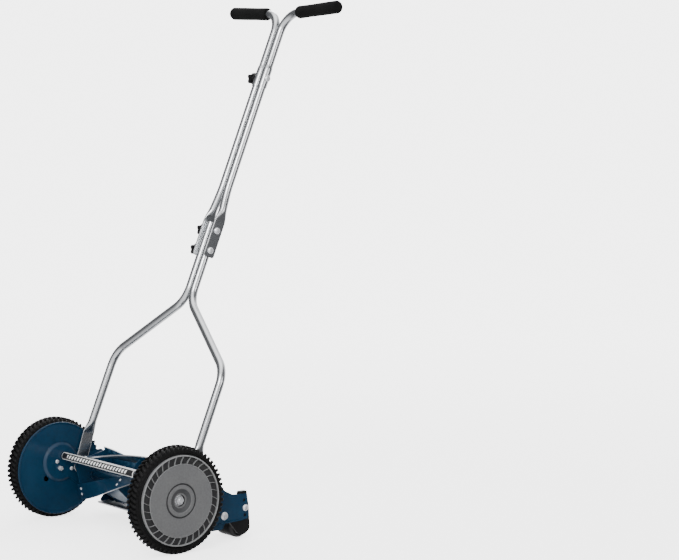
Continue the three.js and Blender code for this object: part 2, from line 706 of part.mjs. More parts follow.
const gripEndX = 186;
function gripTubeGeometry(side) {
  const stations = [
    { at: handlePoint(side * upperPairX, topJoint.low), section: socketSection },
    { at: handlePoint(side * upperPairX, topJoint.top), section: socketSection },
    { at: handlePoint(side * upperPairX, topJoint.top + 7), section: roundSection },
  ];
  const rise = (gripEndX - upperPairX) * Math.tan(gripRise);
  const corners = [[upperPairX, 980], [upperPairX, gripAxis], [gripEndX, gripAxis + rise]];
  const route = bentRoute(corners, gripBend, 6).slice(1);
  for (const [x, along] of route) {
    stations.push({ at: handlePoint(side * x, along), section: roundSection });
  }
  return cut(sweptTube(stations, 10), crossDrill(3.5, topJoint.bolt));
}

function foamGripGeometry(side) {
  const bore = clearing(tubeRadius + gap, 16);
  const points = [
    [0, gripLength - 4], [bore, gripLength - 4], [bore, 0], [gripRadius - 2, 0], [gripRadius, 2.5],
    [gripRadius, gripLength - 6], [gripRadius - 2, gripLength - 1.6], [gripRadius - 6, gripLength], [0, gripLength],
  ].map(([r, u]) => new THREE.Vector2(r, u));
  const geometry = weld(new THREE.LatheGeometry(points, 16));
  const start = gripEndX - (gripLength - 4 - gap) * Math.cos(gripRise);
  const risen = (x) => gripAxis + (x - upperPairX) * Math.tan(gripRise);
  const at = handlePoint(side * start, risen(start));
  const along = handlePoint(side * gripEndX, risen(gripEndX)).sub(at).normalize();
  geometry.applyQuaternion(new THREE.Quaternion().setFromUnitVectors(new THREE.Vector3(0, 1, 0), along));
  geometry.translate(at.x, at.y, at.z);
  return geometry;
}

for (const [name, side] of sides) {
  add(`lower_tube_${name}`, lowerTubeGeometry(side), tubeSteel());
  add(`middle_tube_${name}`, middleTubeGeometry(side), tubeSteel());
  add(`grip_tube_${name}`, gripTubeGeometry(side), tubeSteel());
  add(`foam_grip_${name}`, foamGripGeometry(side), foam());
}

// Clamp bolts cross the handle with their heads on the left and a lobed hand knob on the right.
function clampBoltGeometry(along, reach) {
  const at = handlePoint(0, along);
  return turned([
    [0, -reach - 9], [2.6, -reach - 9], [3.1, -reach - 8.4], [3.1, reach + gap], [7.2, reach + gap],
    [5.4, reach + 4], [0, reach + 4.8],
  ], 1, at.y, at.z, 12);
}

function knobGeometry(along, reach) {
  const lobes = 5;
  const outline = new THREE.Shape();
  const steps = lobes * 4;
  for (let i = 0; i < steps; i += 1) {
    const angle = (i / steps) * Math.PI * 2;
    const r = 12.2 + 1.6 * Math.cos(lobes * angle);
    outline[i === 0 ? 'moveTo' : 'lineTo'](r * Math.cos(angle), r * Math.sin(angle));
  }
  const head = plate(outline, reach + 4, 11, -1);
  const neck = turned([[0, reach + gap], [7.5, reach + gap], [9, reach + 5], [0, reach + 5]], -1, 0, 0, 12);
  const bore = turned([[0, reach], [3.4, reach], [3.4, reach + 11], [0, reach + 11]], -1, 0, 0, 8);
  const knob = cut(joined(head, neck), bore);
  const at = handlePoint(0, along);
  knob.translate(0, at.y, at.z);
  return knob;
}

const middleReach = pairX + tubeRadius + gap + 2 * flatHalfThickness;
const topReach = upperPairX + socketSection.outer[0];
const clamps = [
  ['lower_clamp', middleJoint.boltA, middleReach],
  ['middle_clamp', middleJoint.boltB, middleReach],
  ['top_clamp', topJoint.bolt, topReach],
];
for (const [name, along, reach] of clamps) {
  add(`${name}_bolt`, clampBoltGeometry(along, reach), zincSteel());
  add(`${name}_knob`, knobGeometry(along, reach), blackPlastic());
}

// ---- rear roller --------------------------------------------------------------------------------
// The bracket turns about the front bolt. The height bolt runs in an arc slot around it.
function bracketGeometry(side) {
  const body = roundedOutline([
    [122, -44, 9], [122, -65, 9], [146, -66, 6], [168, -94, 10], [184, -100, 14], [199, -88, 12],
    [196, -40, 6], [191, -8, 3], [172, -8, 3], [166, -34, 8], [140, -42, 8],
  ]);
  const radius = Math.hypot(rearBolt.y - frontBolt.y, rearBolt.z - frontBolt.z);
  const rest = Math.atan2(rearBolt.z - frontBolt.z, rearBolt.y - frontBolt.y);
  const halfWidth = 3.7;
  const slot = new THREE.Shape();
  slot.absarc(frontBolt.y, frontBolt.z, radius + halfWidth, rest - slotSwing, rest + slotSwing, false);
  slot.absarc(frontBolt.y, frontBolt.z, radius - halfWidth, rest + slotSwing, rest - slotSwing, true);
  const thickness = bracketOutside - bracketInside;
  const ends = [-1, 1].map((end) => drill(halfWidth,
    frontBolt.y + radius * Math.cos(rest + end * slotSwing),
    frontBolt.z + radius * Math.sin(rest + end * slotSwing), 198, 214, side, 12));
  return cut(plate(body, bracketInside, thickness, side), plate(slot, bracketInside - 3, thickness + 6, side), ...ends,
    drill(4.3, frontBolt.y, frontBolt.z, 198, 214, side),
    drill(rodRadius + gap, rollerY, rollerZ, 198, 208, side));
}

function rollerGeometry(from, to) {
  const bore = rodRadius + 0.4;
  const round = 6;
  return rolling([
    [bore, from], [rollerRadius - round, from], [rollerRadius, from + round],
    [rollerRadius, to - round], [rollerRadius - round, to], [bore, to],
  ], 1, rollerY, rollerZ, 20);
}

const rodEnd = bracketOutside - 3;
add('roller_rod', turned([[0, -rodEnd], [rodRadius, -rodEnd], [rodRadius, rodEnd], [0, rodEnd]], 1,
  rollerY, rollerZ, 14), zincSteel());
for (const [name, side] of sides) {
  add(`roller_bracket_${name}`, bracketGeometry(side), blackPlastic());
  const ends = [side * outerRoller.from, side * outerRoller.to].sort((a, b) => a - b);
  add(`roller_${name}`, rollerGeometry(...ends), blackPlastic());
}
add('roller_middle', rollerGeometry(-middleRollerHalf, middleRollerHalf), blackPlastic());

// ---- origin -------------------------------------------------------------------------------------
const box = new THREE.Box3().setFromObject(group);
const middle = box.getCenter(new THREE.Vector3());
group.position.set(-middle.x, -middle.y, -box.min.z);

export default group;
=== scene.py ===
# Push reel mower: the finished surfaces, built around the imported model.
# Lengths are millimetres from the middle of the wheel axle line until a mesh is placed.
import math

import bmesh
import bpy
from mathutils import Matrix, Vector


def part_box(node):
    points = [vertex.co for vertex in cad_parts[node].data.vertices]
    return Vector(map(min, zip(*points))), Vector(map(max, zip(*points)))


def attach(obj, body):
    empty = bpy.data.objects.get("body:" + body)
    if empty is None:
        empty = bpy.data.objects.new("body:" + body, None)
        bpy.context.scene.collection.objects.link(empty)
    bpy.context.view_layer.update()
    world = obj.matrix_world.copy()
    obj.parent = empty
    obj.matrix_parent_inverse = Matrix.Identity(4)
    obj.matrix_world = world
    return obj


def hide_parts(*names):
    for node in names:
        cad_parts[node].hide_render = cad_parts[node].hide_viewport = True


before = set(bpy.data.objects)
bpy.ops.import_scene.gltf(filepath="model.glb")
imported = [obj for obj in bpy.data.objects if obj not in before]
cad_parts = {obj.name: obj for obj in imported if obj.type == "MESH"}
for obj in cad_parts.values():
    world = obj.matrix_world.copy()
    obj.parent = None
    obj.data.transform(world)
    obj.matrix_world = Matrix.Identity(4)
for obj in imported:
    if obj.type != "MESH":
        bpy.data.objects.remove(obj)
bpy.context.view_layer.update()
mm = 0.001
tyreLow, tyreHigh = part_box("tyre_left")
axle = Vector((0, (tyreLow.y + tyreHigh.y) / 2, (tyreLow.z + tyreHigh.z) / 2))
sides = (("left", 1), ("right", -1))
toRow = Matrix.Translation(axle) @ Matrix.Scale(mm, 4)
print("frame loaded")


def addNode(tree, kind, inputs=None, **settings):
    node = tree.nodes.new(kind)
    for name, value in settings.items():
        setattr(node, name, value)
    for name, value in (inputs or {}).items():
        socket = node.inputs[name]
        if isinstance(value, bpy.types.NodeSocket):
            tree.links.new(value, socket)
        else:
            socket.default_value = value
    return node


def maths(tree, operation, a, b=0.0, clamp=False):
    return addNode(tree, "ShaderNodeMath", {0: a, 1: b}, operation=operation, use_clamp=clamp).outputs[0]


def mixColour(tree, factor, a, b):
    return addNode(tree, "ShaderNodeMix", {0: factor, 6: a, 7: b}, data_type="RGBA").outputs[2]


def remap(tree, value, low, high, toLow=0.0, toHigh=1.0):
    return addNode(tree, "ShaderNodeMapRange", {0: value, 1: low, 2: high, 3: toLow, 4: toHigh}).outputs[0]


def objectPlace(tree):
    return addNode(tree, "ShaderNodeTexCoord").outputs["Object"]


def noise(tree, place, scale, detail=2.0, roughness=0.5):
    inputs = {"Vector": place, "Scale": scale, "Detail": detail, "Roughness": roughness}
    return addNode(tree, "ShaderNodeTexNoise", inputs).outputs[0]


def newGroup(name, kind, inputs, outputs):
    tree = bpy.data.node_groups.new(name, kind)
    for label, socketType, value in inputs:
        socket = tree.interface.new_socket(label, in_out="INPUT", socket_type=socketType)
        if value is not None:
            socket.default_value = value
    for label, socketType in outputs:
        tree.interface.new_socket(label, in_out="OUTPUT", socket_type=socketType)
    return tree, tree.nodes.new("NodeGroupInput"), tree.nodes.new("NodeGroupOutput")


number, colour, vector = "NodeSocketFloat", "NodeSocketColor", "NodeSocketVector"


def makeGrime():  # soft patches of dust and small changes of tone
    tree, given, result = newGroup(
        "grime", "ShaderNodeTree",
        [("Base", colour, (0.5, 0.5, 0.5, 1)), ("Dust", colour, (0.4, 0.37, 0.33, 1)),
         ("Amount", number, 0.2), ("Scale", number, 18.0), ("Specks", number, 0.22)],
        [("Color", colour), ("Mask", number)])
    place = objectPlace(tree)
    patches = noise(tree, place, given.outputs["Scale"], 6.0)
    specks = noise(tree, place, maths(tree, "MULTIPLY", given.outputs["Scale"], 9.0), 4.0)
    mask = maths(tree, "MULTIPLY", remap(tree, patches, 0.42, 0.72), given.outputs["Amount"])
    dots = maths(tree, "MULTIPLY", remap(tree, specks, 0.3, 0.7), given.outputs["Specks"])
    toned = mixColour(tree, dots, given.outputs["Base"], (0.0, 0.0, 0.0, 1))
    tree.links.new(mixColour(tree, mask, toned, given.outputs["Dust"]), result.inputs["Color"])
    tree.links.new(mask, result.inputs["Mask"])
    return tree


def makeGrain():  # fine height from noise, stretched along one axis for brushed or drawn metal
    tree, given, result = newGroup(
        "grain", "ShaderNodeTree",
        [("Stretch", vector, (1, 1, 1)), ("Tilt", vector, (0, 0, 0)), ("Scale", number, 400.0)],
        [("Height", number), ("Tone", number)])
    turned = addNode(tree, "ShaderNodeMapping", {"Vector": objectPlace(tree),
                                                 "Rotation": given.outputs["Tilt"]})
    long = addNode(tree, "ShaderNodeVectorMath", {0: turned.outputs[0], 1: given.outputs["Stretch"]},
                   operation="MULTIPLY")
    height = noise(tree, long.outputs[0], given.outputs["Scale"], 3.0, 0.6)
    tree.links.new(height, result.inputs["Height"])
    tree.links.new(remap(tree, height, 0.3, 0.7), result.inputs["Tone"])
    return tree


def makeEdgeWear():  # a mask along convex edges, broken up by noise
    tree, given, result = newGroup(
        "edgeWear", "ShaderNodeTree", [("Amount", number, 1.0), ("Start", number, 0.53)], [("Mask", number)])
    sharp = addNode(tree, "ShaderNodeNewGeometry").outputs["Pointiness"]
    edge = remap(tree, sharp, given.outputs["Start"], maths(tree, "ADD", given.outputs["Start"], 0.06))
    patches = noise(tree, objectPlace(tree), 130.0, 5.0)
    broken = maths(tree, "MULTIPLY", edge, remap(tree, patches, 0.42, 0.6))
    mask = maths(tree, "MULTIPLY", broken, given.outputs["Amount"], clamp=True)
    tree.links.new(mask, result.inputs["Mask"])
    return tree


grime, grain, edgeWear = makeGrime(), makeGrain(), makeEdgeWear()


def placed(tree, group, inputs):
    return addNode(tree, "ShaderNodeGroup", inputs, node_tree=group)


def newMaterial(name, **fixed):  # fixed: the shader's own constant inputs
    material = bpy.data.materials.new(name)
    material.use_nodes = True
    tree = material.node_tree
    shader = next(n for n in tree.nodes if n.type == "BSDF_PRINCIPLED")
    for label, value in fixed.items():
        shader.inputs[label.replace("_", " ")].default_value = value
    return material, tree, shader


def addBump(tree, shader, height, distance, strength=0.5):
    bump = addNode(tree, "ShaderNodeBump", {"Height": height, "Distance": distance, "Strength": strength})
    tree.links.new(bump.outputs[0], shader.inputs["Normal"])


enamelLook = {"base": (0.0006, 0.02, 0.049, 1), "worn": (0.08, 0.17, 0.25, 1),
              "dust": (0.0014, 0.028, 0.06, 1)}


def makeEnamel(name, wearAmount):  # dark blue baked enamel with light orange peel and rubbed edges
    material, tree, shader = newMaterial(name, Coat_Weight=0.28, Coat_Roughness=0.1, Specular_IOR_Level=0.2)
    dirt = placed(tree, grime, {"Base": enamelLook["base"], "Dust": enamelLook["dust"], "Amount": 0.5,
                                "Scale": 14.0})
    tint = dirt.outputs["Color"]
    if wearAmount:
        wear = placed(tree, edgeWear, {"Amount": wearAmount, "Start": 0.56})
        tint = mixColour(tree, wear.outputs["Mask"], tint, enamelLook["worn"])
    tree.links.new(tint, shader.inputs["Base Color"])
    peel = placed(tree, grain, {"Scale": 520.0})
    rough = remap(tree, peel.outputs["Tone"], 0.0, 1.0, 0.36, 0.46)
    tree.links.new(maths(tree, "ADD", rough, maths(tree, "MULTIPLY", dirt.outputs["Mask"], 0.2)),
                   shader.inputs["Roughness"])
    addBump(tree, shader, peel.outputs["Height"], 0.0002, 0.35)
    return material


def makeMetal(name, base, dark, roughLow, roughHigh, stretch, tilt=(0, 0, 0), scale=900.0, bump=0.00006,
              spots=0.3, depth=0.35, metal=1.0):
    material, tree, shader = newMaterial(name, Metallic=metal)
    dirt = placed(tree, grime, {"Base": base, "Dust": dark, "Amount": spots, "Scale": 30.0,
                                "Specks": depth / 2})
    lines = placed(tree, grain, {"Scale": scale, "Stretch": stretch, "Tilt": tilt})
    tone = mixColour(tree, maths(tree, "MULTIPLY", lines.outputs["Tone"], depth), dirt.outputs["Color"], dark)
    tree.links.new(tone, shader.inputs["Base Color"])
    rough = remap(tree, lines.outputs["Tone"], 0.0, 1.0, roughLow, roughHigh)
    tree.links.new(maths(tree, "ADD", rough, maths(tree, "MULTIPLY", dirt.outputs["Mask"], 0.25)),
                   shader.inputs["Roughness"])
    addBump(tree, shader, lines.outputs["Height"], bump)
    return material


def makePlastic(name, base, dust, rough, grainScale, amount=0.25, bump=0.0002, wearTint=None, **fixed):
    material, tree, shader = newMaterial(name, **fixed)
    dirt = placed(tree, grime, {"Base": base, "Dust": dust, "Amount": amount, "Scale": 26.0})
    result = dirt.outputs["Color"]
    if wearTint:
        wear = placed(tree, edgeWear, {"Amount": 0.8, "Start": 0.54})
        result = mixColour(tree, wear.outputs["Mask"], result, wearTint)
    tree.links.new(result, shader.inputs["Base Color"])
    skin = placed(tree, grain, {"Scale": grainScale})
    tree.links.new(remap(tree, skin.outputs["Tone"], 0.0, 1.0, rough - 0.06, rough + 0.08),
                   shader.inputs["Roughness"])
    addBump(tree, shader, skin.outputs["Height"], bump)
    return material


labelLook = {"border": 1.9, "corner": 4.0, "dashPitch": 11.0, "dashShare": 0.5, "dashSlant": 0.6,
             "dashHalf": 3.7, "plainEnd": 22.0, "ground": (0.006, 0.006, 0.007, 1),
             "print": (0.82, 0.82, 0.81, 1)}


def makeLabelMaterial(halfLong, halfWide):  # a black wrap with a pale border line and a plain hatch
    material, tree, shader = newMaterial("barLabel", Coat_Weight=0.4, Coat_Roughness=0.12)
    uv = addNode(tree, "ShaderNodeUVMap", uv_map="labelMap").outputs[0]
    parts = addNode(tree, "ShaderNodeSeparateXYZ", {0: uv})
    u, v = parts.outputs[0], parts.outputs[1]
    corner = labelLook["corner"]
    squares = []
    for place, half in ((u, halfLong), (v, halfWide)):
        past = maths(tree, "SUBTRACT", maths(tree, "ABSOLUTE", place), half - corner)
        squares.append(maths(tree, "POWER", maths(tree, "MAXIMUM", past, 0.0), 2.0))
    reach = maths(tree, "SQRT", maths(tree, "ADD", *squares))
    border = maths(tree, "GREATER_THAN", reach, corner - labelLook["border"])
    slanted = maths(tree, "ADD", u, maths(tree, "MULTIPLY", v, labelLook["dashSlant"]))
    phase = maths(tree, "FLOORED_MODULO", slanted, labelLook["dashPitch"])
    dash = maths(tree, "LESS_THAN", phase, labelLook["dashPitch"] * labelLook["dashShare"])
    band = maths(tree, "LESS_THAN", maths(tree, "ABSOLUTE", v), labelLook["dashHalf"])
    inside = maths(tree, "LESS_THAN", maths(tree, "ABSOLUTE", u), halfLong - labelLook["plainEnd"])
    hatch = maths(tree, "MULTIPLY", maths(tree, "MULTIPLY", dash, band), inside)
    mark = maths(tree, "MAXIMUM", border, hatch)
    dirt = placed(tree, grime, {"Base": labelLook["ground"], "Dust": (0.05, 0.05, 0.05, 1), "Amount": 0.3})
    tint = mixColour(tree, mark, dirt.outputs["Color"], labelLook["print"])
    tree.links.new(tint, shader.inputs["Base Color"])
    skin = placed(tree, grain, {"Scale": 300.0})
    tree.links.new(remap(tree, skin.outputs["Tone"], 0.0, 1.0, 0.28, 0.4), shader.inputs["Roughness"])
    addBump(tree, shader, skin.outputs["Height"], 0.0001, 0.3)
    return material


handleTilt = math.radians(22.6)
enamel = makeEnamel("blueEnamel", 0.0)
rubbedEnamel = makeEnamel("rubbedBlueEnamel", 0.8)
tubeSteel = makeMetal("drawnTube", (0.58, 0.59, 0.6, 1), (0.32, 0.33, 0.34, 1), 0.2, 0.23, (1, 1, 0.02),
                      (handleTilt, 0, 0), 420.0, 0.0000005, 0.12, 0.06)
zinc = makeMetal("zincPlate", (0.8, 0.81, 0.83, 1), (0.42, 0.43, 0.45, 1), 0.22, 0.38, (1, 1, 1), scale=260.0,
                 spots=0.4, depth=0.2, metal=0.72)
groundSteel = makeMetal("groundSteel", (0.72, 0.73, 0.75, 1), (0.3, 0.3, 0.31, 1), 0.24, 0.42, (0.05, 1, 1),
                        scale=1600.0)
hardSteel = makeMetal("oiledSteel", (0.2, 0.2, 0.21, 1), (0.06, 0.055, 0.05, 1), 0.32, 0.5, (1, 1, 1),
                      scale=400.0, spots=0.7)
gearPlastic = makePlastic("gearPlastic", (0.005, 0.005, 0.0055, 1), (0.016, 0.0155, 0.015, 1), 0.5, 600.0,
                          Specular_IOR_Level=0.3)
tyreRubber = makePlastic("tyreRubber", (0.002, 0.002, 0.0022, 1), (0.008, 0.0078, 0.0075, 1), 0.62, 900.0,
                         0.35, 0.0003, (0.006, 0.006, 0.0065, 1), Specular_IOR_Level=0.16)
coverGrey = makePlastic("coverGrey", (0.088, 0.089, 0.091, 1), (0.108, 0.108, 0.106, 1), 0.46, 1500.0, 0.2,
                        0.00008)
# a lighter copy of the cover grey for the raised rim ring, ribs and lip: painted highlight on the raised
# parts
coverHighlight = makePlastic("coverHighlightGrey", (0.165, 0.167, 0.17, 1), (0.2, 0.2, 0.195, 1), 0.4, 1500.0, 0.2,
                       0.00008)
blackPlastic = makePlastic("blackPlastic", (0.004, 0.004, 0.0045, 1), (0.014, 0.0135, 0.013, 1), 0.42,
                           700.0, 0.25, 0.00015, Specular_IOR_Level=0.3)
foam = makePlastic("gripFoam", (0.003, 0.003, 0.0032, 1), (0.008, 0.0078, 0.0075, 1), 0.85, 700.0, 0.4,
                   0.0005, Specular_IOR_Level=0.12)
# dark grey for a cone ring laid into the hub's recess: painted shade
recessPaintedShade = makePlastic("recessPaintedShade", (0.028, 0.029, 0.031, 1), (0.045, 0.045, 0.045, 1), 0.55, 1200.0)
# near-black for thin rings in the cover's groove and under its slots: painted shade
slotShade = makePlastic("slotShade", (0.01, 0.01, 0.011, 1), (0.026, 0.026, 0.025, 1), 0.6, 1200.0)
print("materials made")


def rounded(points, closed=True, steps=5):  # corners given as (x, y, radius) become arcs
    result, count = [], len(points)
    for i, point in enumerate(points):
        here, radius = Vector(point[:2]), (point[2] if len(point) > 2 else 0.0)
        if radius <= 0 or (not closed and i in (0, count - 1)):
            result.append(tuple(here))
            continue
        before = Vector(points[i - 1][:2]) - here
        after = Vector(points[(i + 1) % count][:2]) - here
        half = before.angle(after) / 2
        reach = min(radius / math.tan(half), before.length * 0.49, after.length * 0.49)
        start, end = here + before.normalized() * reach, here + after.normalized() * reach
        for k in range(steps + 1):
            t = k / steps
            result.append(tuple(start * (1 - t) ** 2 + here * 2 * t * (1 - t) + end * t ** 2))
    return result


def circle(radius, y=0.0, z=0.0, count=32):
    return [(y + radius * math.cos(2 * math.pi * k / count), z + radius * math.sin(2 * math.pi * k / count))
            for k in range(count)]


def lathe(profile, side=1, y=0.0, z=0.0, segments=72, material=0):  # profile: (radius, x[, corner radius])
    onAxis = profile[0][0] == 0
    line = rounded(profile, closed=not onAxis)
    points, rings = [], []
    for radius, x in line:
        first = len(points)
        if radius < 1e-6:
            points.append(Vector((side * x, y, z)))
            rings.append([first] * segments)
            continue
        for k in range(segments):
            angle = 2 * math.pi * k / segments
            points.append(Vector((side * x, y + radius * math.cos(angle), z + radius * math.sin(angle))))
        rings.append(list(range(first, first + segments)))
    pairs = list(zip(rings, rings[1:])) + ([] if onAxis else [(rings[-1], rings[0])])
    faces = []
    for a, b in pairs:
        for k in range(segments):
            n = (k + 1) % segments
            face = []
            for index in (a[k], a[n], b[n], b[k]):
                if index not in face:
                    face.append(index)
            if len(face) > 2:
                faces.append(face)
    return points, faces, material


def sheetMetal(outline, holes, inner, thickness, side=1, edge=0.4):  # a plate facing along X
    bm = bmesh.new()
    edges = []
    for loop in [outline] + holes:
        ring = [bm.verts.new((0, y, z)) for y, z in loop]
        edges += [bm.edges.new((ring[i], ring[(i + 1) % len(ring)])) for i in range(len(ring))]
    bmesh.ops.triangle_fill(bm, use_beauty=True, edges=edges)
    grown = bmesh.ops.extrude_face_region(bm, geom=bm.faces[:])
    top = [v for v in grown["geom"] if isinstance(v, bmesh.types.BMVert)]
    bmesh.ops.translate(bm, verts=top, vec=(thickness, 0, 0))
    bmesh.ops.recalc_face_normals(bm, faces=bm.faces[:])
    if edge:
        sharp = [e for e in bm.edges if len(e.link_faces) == 2 and e.calc_face_angle() > math.radians(50)]
        bmesh.ops.bevel(bm, geom=sharp, offset=edge, segments=2, profile=0.7, affect="EDGES",
                        clamp_overlap=True)
    bm.verts.index_update()
    points = [Vector((side * (inner + v.co.x), v.co.y, v.co.z)) for v in bm.verts]
    faces = [[v.index for v in f.verts] for f in bm.faces]
    bm.free()
    return points, faces, 0


def moved(shell, matrix):
    points, faces, material = shell
    return [matrix @ p for p in points], faces, material


def makeMesh(name, shells, materials, scaleToRow=True):
    bm = bmesh.new()
    for points, faces, material in shells:
        verts = [bm.verts.new(p) for p in points]
        made = []
        for face in faces:
            made.append(bm.faces.new([verts[i] for i in face]))
            made[-1].material_index = material
            made[-1].smooth = True
        bmesh.ops.recalc_face_normals(bm, faces=made)
    mesh = bpy.data.meshes.new(name)
    bm.to_mesh(mesh)
    bm.free()
    for material in materials:
        mesh.materials.append(material)
    if scaleToRow:
        mesh.transform(toRow)
    return mesh


def ridePiece(name, mesh, body, replaced=(), sharp=38, even=False):
    mesh.set_sharp_from_angle(angle=math.radians(sharp))
    piece = bpy.data.objects.new(name, mesh)
    bpy.context.scene.collection.objects.link(piece)
    if even:
        shading = piece.modifiers.new("evenNormals", "WEIGHTED_NORMAL")
        shading.keep_sharp = True
    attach(piece, body)
    if replaced:
        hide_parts(*replaced)
    return piece


def addPiece(node, suffix, shells, material, body, even=False):  # a piece in one material for one CAD node
    name = f"{node}_{suffix}"
    ridePiece(name, makeMesh(name, shells, [material]), body, [node], even=even)


geometrySocket, wholeNumber, materialSocket = "NodeSocketGeometry", "NodeSocketInt", "NodeSocketMaterial"


def setMaterial(tree, geometry, material, selection=True):
    return addNode(tree, "GeometryNodeSetMaterial", {"Geometry": geometry, "Selection": selection,
                                                     "Material": material}).outputs[0]


def makeCopyTree(name, turning):  # copies of a small item, either turned about X or set out in a row
    tree, given, result = newGroup(
        name, "GeometryNodeTree",
        [("Geometry", geometrySocket, None), ("Count", wholeNumber, 4), ("First", vector, (0, 0, 0)),
         ("Step", vector, (0, 0, 0)), ("Turn Start", number, 0.0), ("Turn Step", number, 0.0),
         ("Material", materialSocket, None)],
        [("Geometry", geometrySocket)])
    line = addNode(tree, "GeometryNodeMeshLine", {"Count": given.outputs["Count"],
                                                  "Start Location": given.outputs["First"],
                                                  "Offset": given.outputs["Step"]}, mode="OFFSET")
    copies = addNode(tree, "GeometryNodeInstanceOnPoints",
                     {"Points": line.outputs[0], "Instance": given.outputs["Geometry"]})
    if turning:
        index = addNode(tree, "GeometryNodeInputIndex").outputs[0]
        swing = maths(tree, "MULTIPLY", index, given.outputs["Turn Step"])
        turn = addNode(tree, "ShaderNodeCombineXYZ",
                       {0: maths(tree, "ADD", swing, given.outputs["Turn Start"])})
        tree.links.new(turn.outputs[0], copies.inputs["Rotation"])
    real = addNode(tree, "GeometryNodeRealizeInstances", {0: copies.outputs[0]})
    tree.links.new(setMaterial(tree, real.outputs[0], given.outputs["Material"]), result.inputs["Geometry"])
    return tree


def makeHelixTree():  # turns a straight strip round the X axis as it goes along X; its crest is ground land
    tree, given, result = newGroup(
        "helixBlade", "GeometryNodeTree",
        [("Geometry", geometrySocket, None), ("Twist", number, 0.0), ("Phase", number, 0.0),
         ("Axis Place", vector, (0, 0, 0)), ("Land Radius", number, 60.0), ("Material", materialSocket, None),
         ("Land Material", materialSocket, None)],
        [("Geometry", geometrySocket)])
    place = addNode(tree, "GeometryNodeInputPosition").outputs[0]
    along = addNode(tree, "ShaderNodeSeparateXYZ", {0: place}).outputs[0]
    angle = maths(tree, "ADD", maths(tree, "MULTIPLY", along, given.outputs["Twist"]), given.outputs["Phase"])
    turned = addNode(tree, "ShaderNodeVectorRotate", {"Vector": place, "Angle": angle},
                     rotation_type="X_AXIS")
    shifted = addNode(tree, "ShaderNodeVectorMath", {0: turned.outputs[0], 1: given.outputs["Axis Place"]},
                      operation="ADD")
    shape = addNode(tree, "GeometryNodeSetPosition", {"Geometry": given.outputs["Geometry"],
                                                      "Position": shifted.outputs[0]})
    fromAxis = addNode(tree, "ShaderNodeVectorMath", {0: place, 1: given.outputs["Axis Place"]},
                       operation="SUBTRACT")
    split = addNode(tree, "ShaderNodeSeparateXYZ", {0: fromAxis.outputs[0]})
    radial = addNode(tree, "ShaderNodeCombineXYZ", {1: split.outputs[1], 2: split.outputs[2]})
    length = addNode(tree, "ShaderNodeVectorMath", {0: radial.outputs[0]},
                     operation="LENGTH").outputs["Value"]
    isLand = addNode(tree, "FunctionNodeCompare", {0: length, 1: given.outputs["Land Radius"]},
                     data_type="FLOAT", operation="GREATER_THAN").outputs[0]
    real = addNode(tree, "GeometryNodeRealizeInstances", {0: shape.outputs[0]})
    painted = setMaterial(tree, real.outputs[0], given.outputs["Material"])
    tree.links.new(setMaterial(tree, painted, given.outputs["Land Material"], isLand),
                   result.inputs["Geometry"])
    return tree


aroundAxis = makeCopyTree("copiesAround", True)
inRow = makeCopyTree("copiesInRow", False)
helixBlade = makeHelixTree()


def grow(name, item, tree, **values):  # runs a tree on an item mesh and returns the plain mesh in row metres
    holder = bpy.data.objects.new(name, item)
    bpy.context.scene.collection.objects.link(holder)
    modifier = holder.modifiers.new(name, "NODES")
    modifier.node_group = tree
    sockets = {s.name: s.identifier for s in tree.interface.items_tree if s.in_out == "INPUT"}
    for label, value in values.items():
        modifier[sockets[label.replace("_", " ")]] = value
    depsgraph = bpy.context.evaluated_depsgraph_get()
    mesh = bpy.data.meshes.new_from_object(holder.evaluated_get(depsgraph), depsgraph=depsgraph)
    holder.modifiers.clear()
    bpy.data.objects.remove(holder)
    mesh.transform(toRow)
    for polygon in mesh.polygons:
        polygon.use_smooth = True
    return mesh


def ringOf(name, shell, material, count, start=0.0, centre=(0.0, 0.0)):  # equal copies right round an axis
    item = makeMesh(name, [shell], [material], scaleToRow=False)
    return grow(name, item, aroundAxis, Count=count, First=(0.0, *centre), Turn_Step=2 * math.pi / count,
                Turn_Start=start, Material=material)


def mergeMeshes(name, meshes):
    bm = bmesh.new()
    materials = []
    for mesh in meshes:
        start = len(bm.faces)
        bm.from_mesh(mesh)
        bm.faces.ensure_lookup_table()
        slots = []
        for material in mesh.materials:
            if material not in materials:
                materials.append(material)
            slots.append(materials.index(material))
        for face in bm.faces[start:]:
            face.material_index = slots[min(face.material_index, len(slots) - 1)]
    result = bpy.data.meshes.new(name)
    bm.to_mesh(result)
    bm.free()
    for material in materials:
        result.materials.append(material)
    return result


wheelSize = {"tyre": 107.95, "tread": 103.2, "rim": 93.4, "hub": 17.0, "spindle": 6.65, "cover": 90.6,
             "band": 72.8, "ringInner": 88.1, "face": 257.0, "lugs": 62, "webRibs": 8, "ribs": 32,
             "teeth": 48, "middle": 236.25, "coverBore": 11.7, "groove": (31.4, 35.6), "ribCurl": 5.2,
             "ribHalf": 0.42}
reelAxis = (70.0, -15.0)
meshAngle = math.atan2(reelAxis[1], reelAxis[0])


def tyreShells():
    tread = wheelSize["tread"]
    carcass = [(93.75, 221.8, 1.0), (97.5, 221.0, 2.0), (101.0, 222.5, 1.5), (tread, 227.0, 4.0),
               (tread, 245.5, 4.0), (101.0, 250.0, 1.5), (97.5, 251.5, 2.0), (93.75, 250.7, 1.0)]
    rings = [[(r - 0.6, x), (r + 0.5, x - 0.4, 0.4), (r + 0.5, x + 0.4, 0.4), (r - 0.6, x + 0.9)]
             for r, x in ((95.6, 250.9), (95.6, 221.1))]
    return carcass, rings


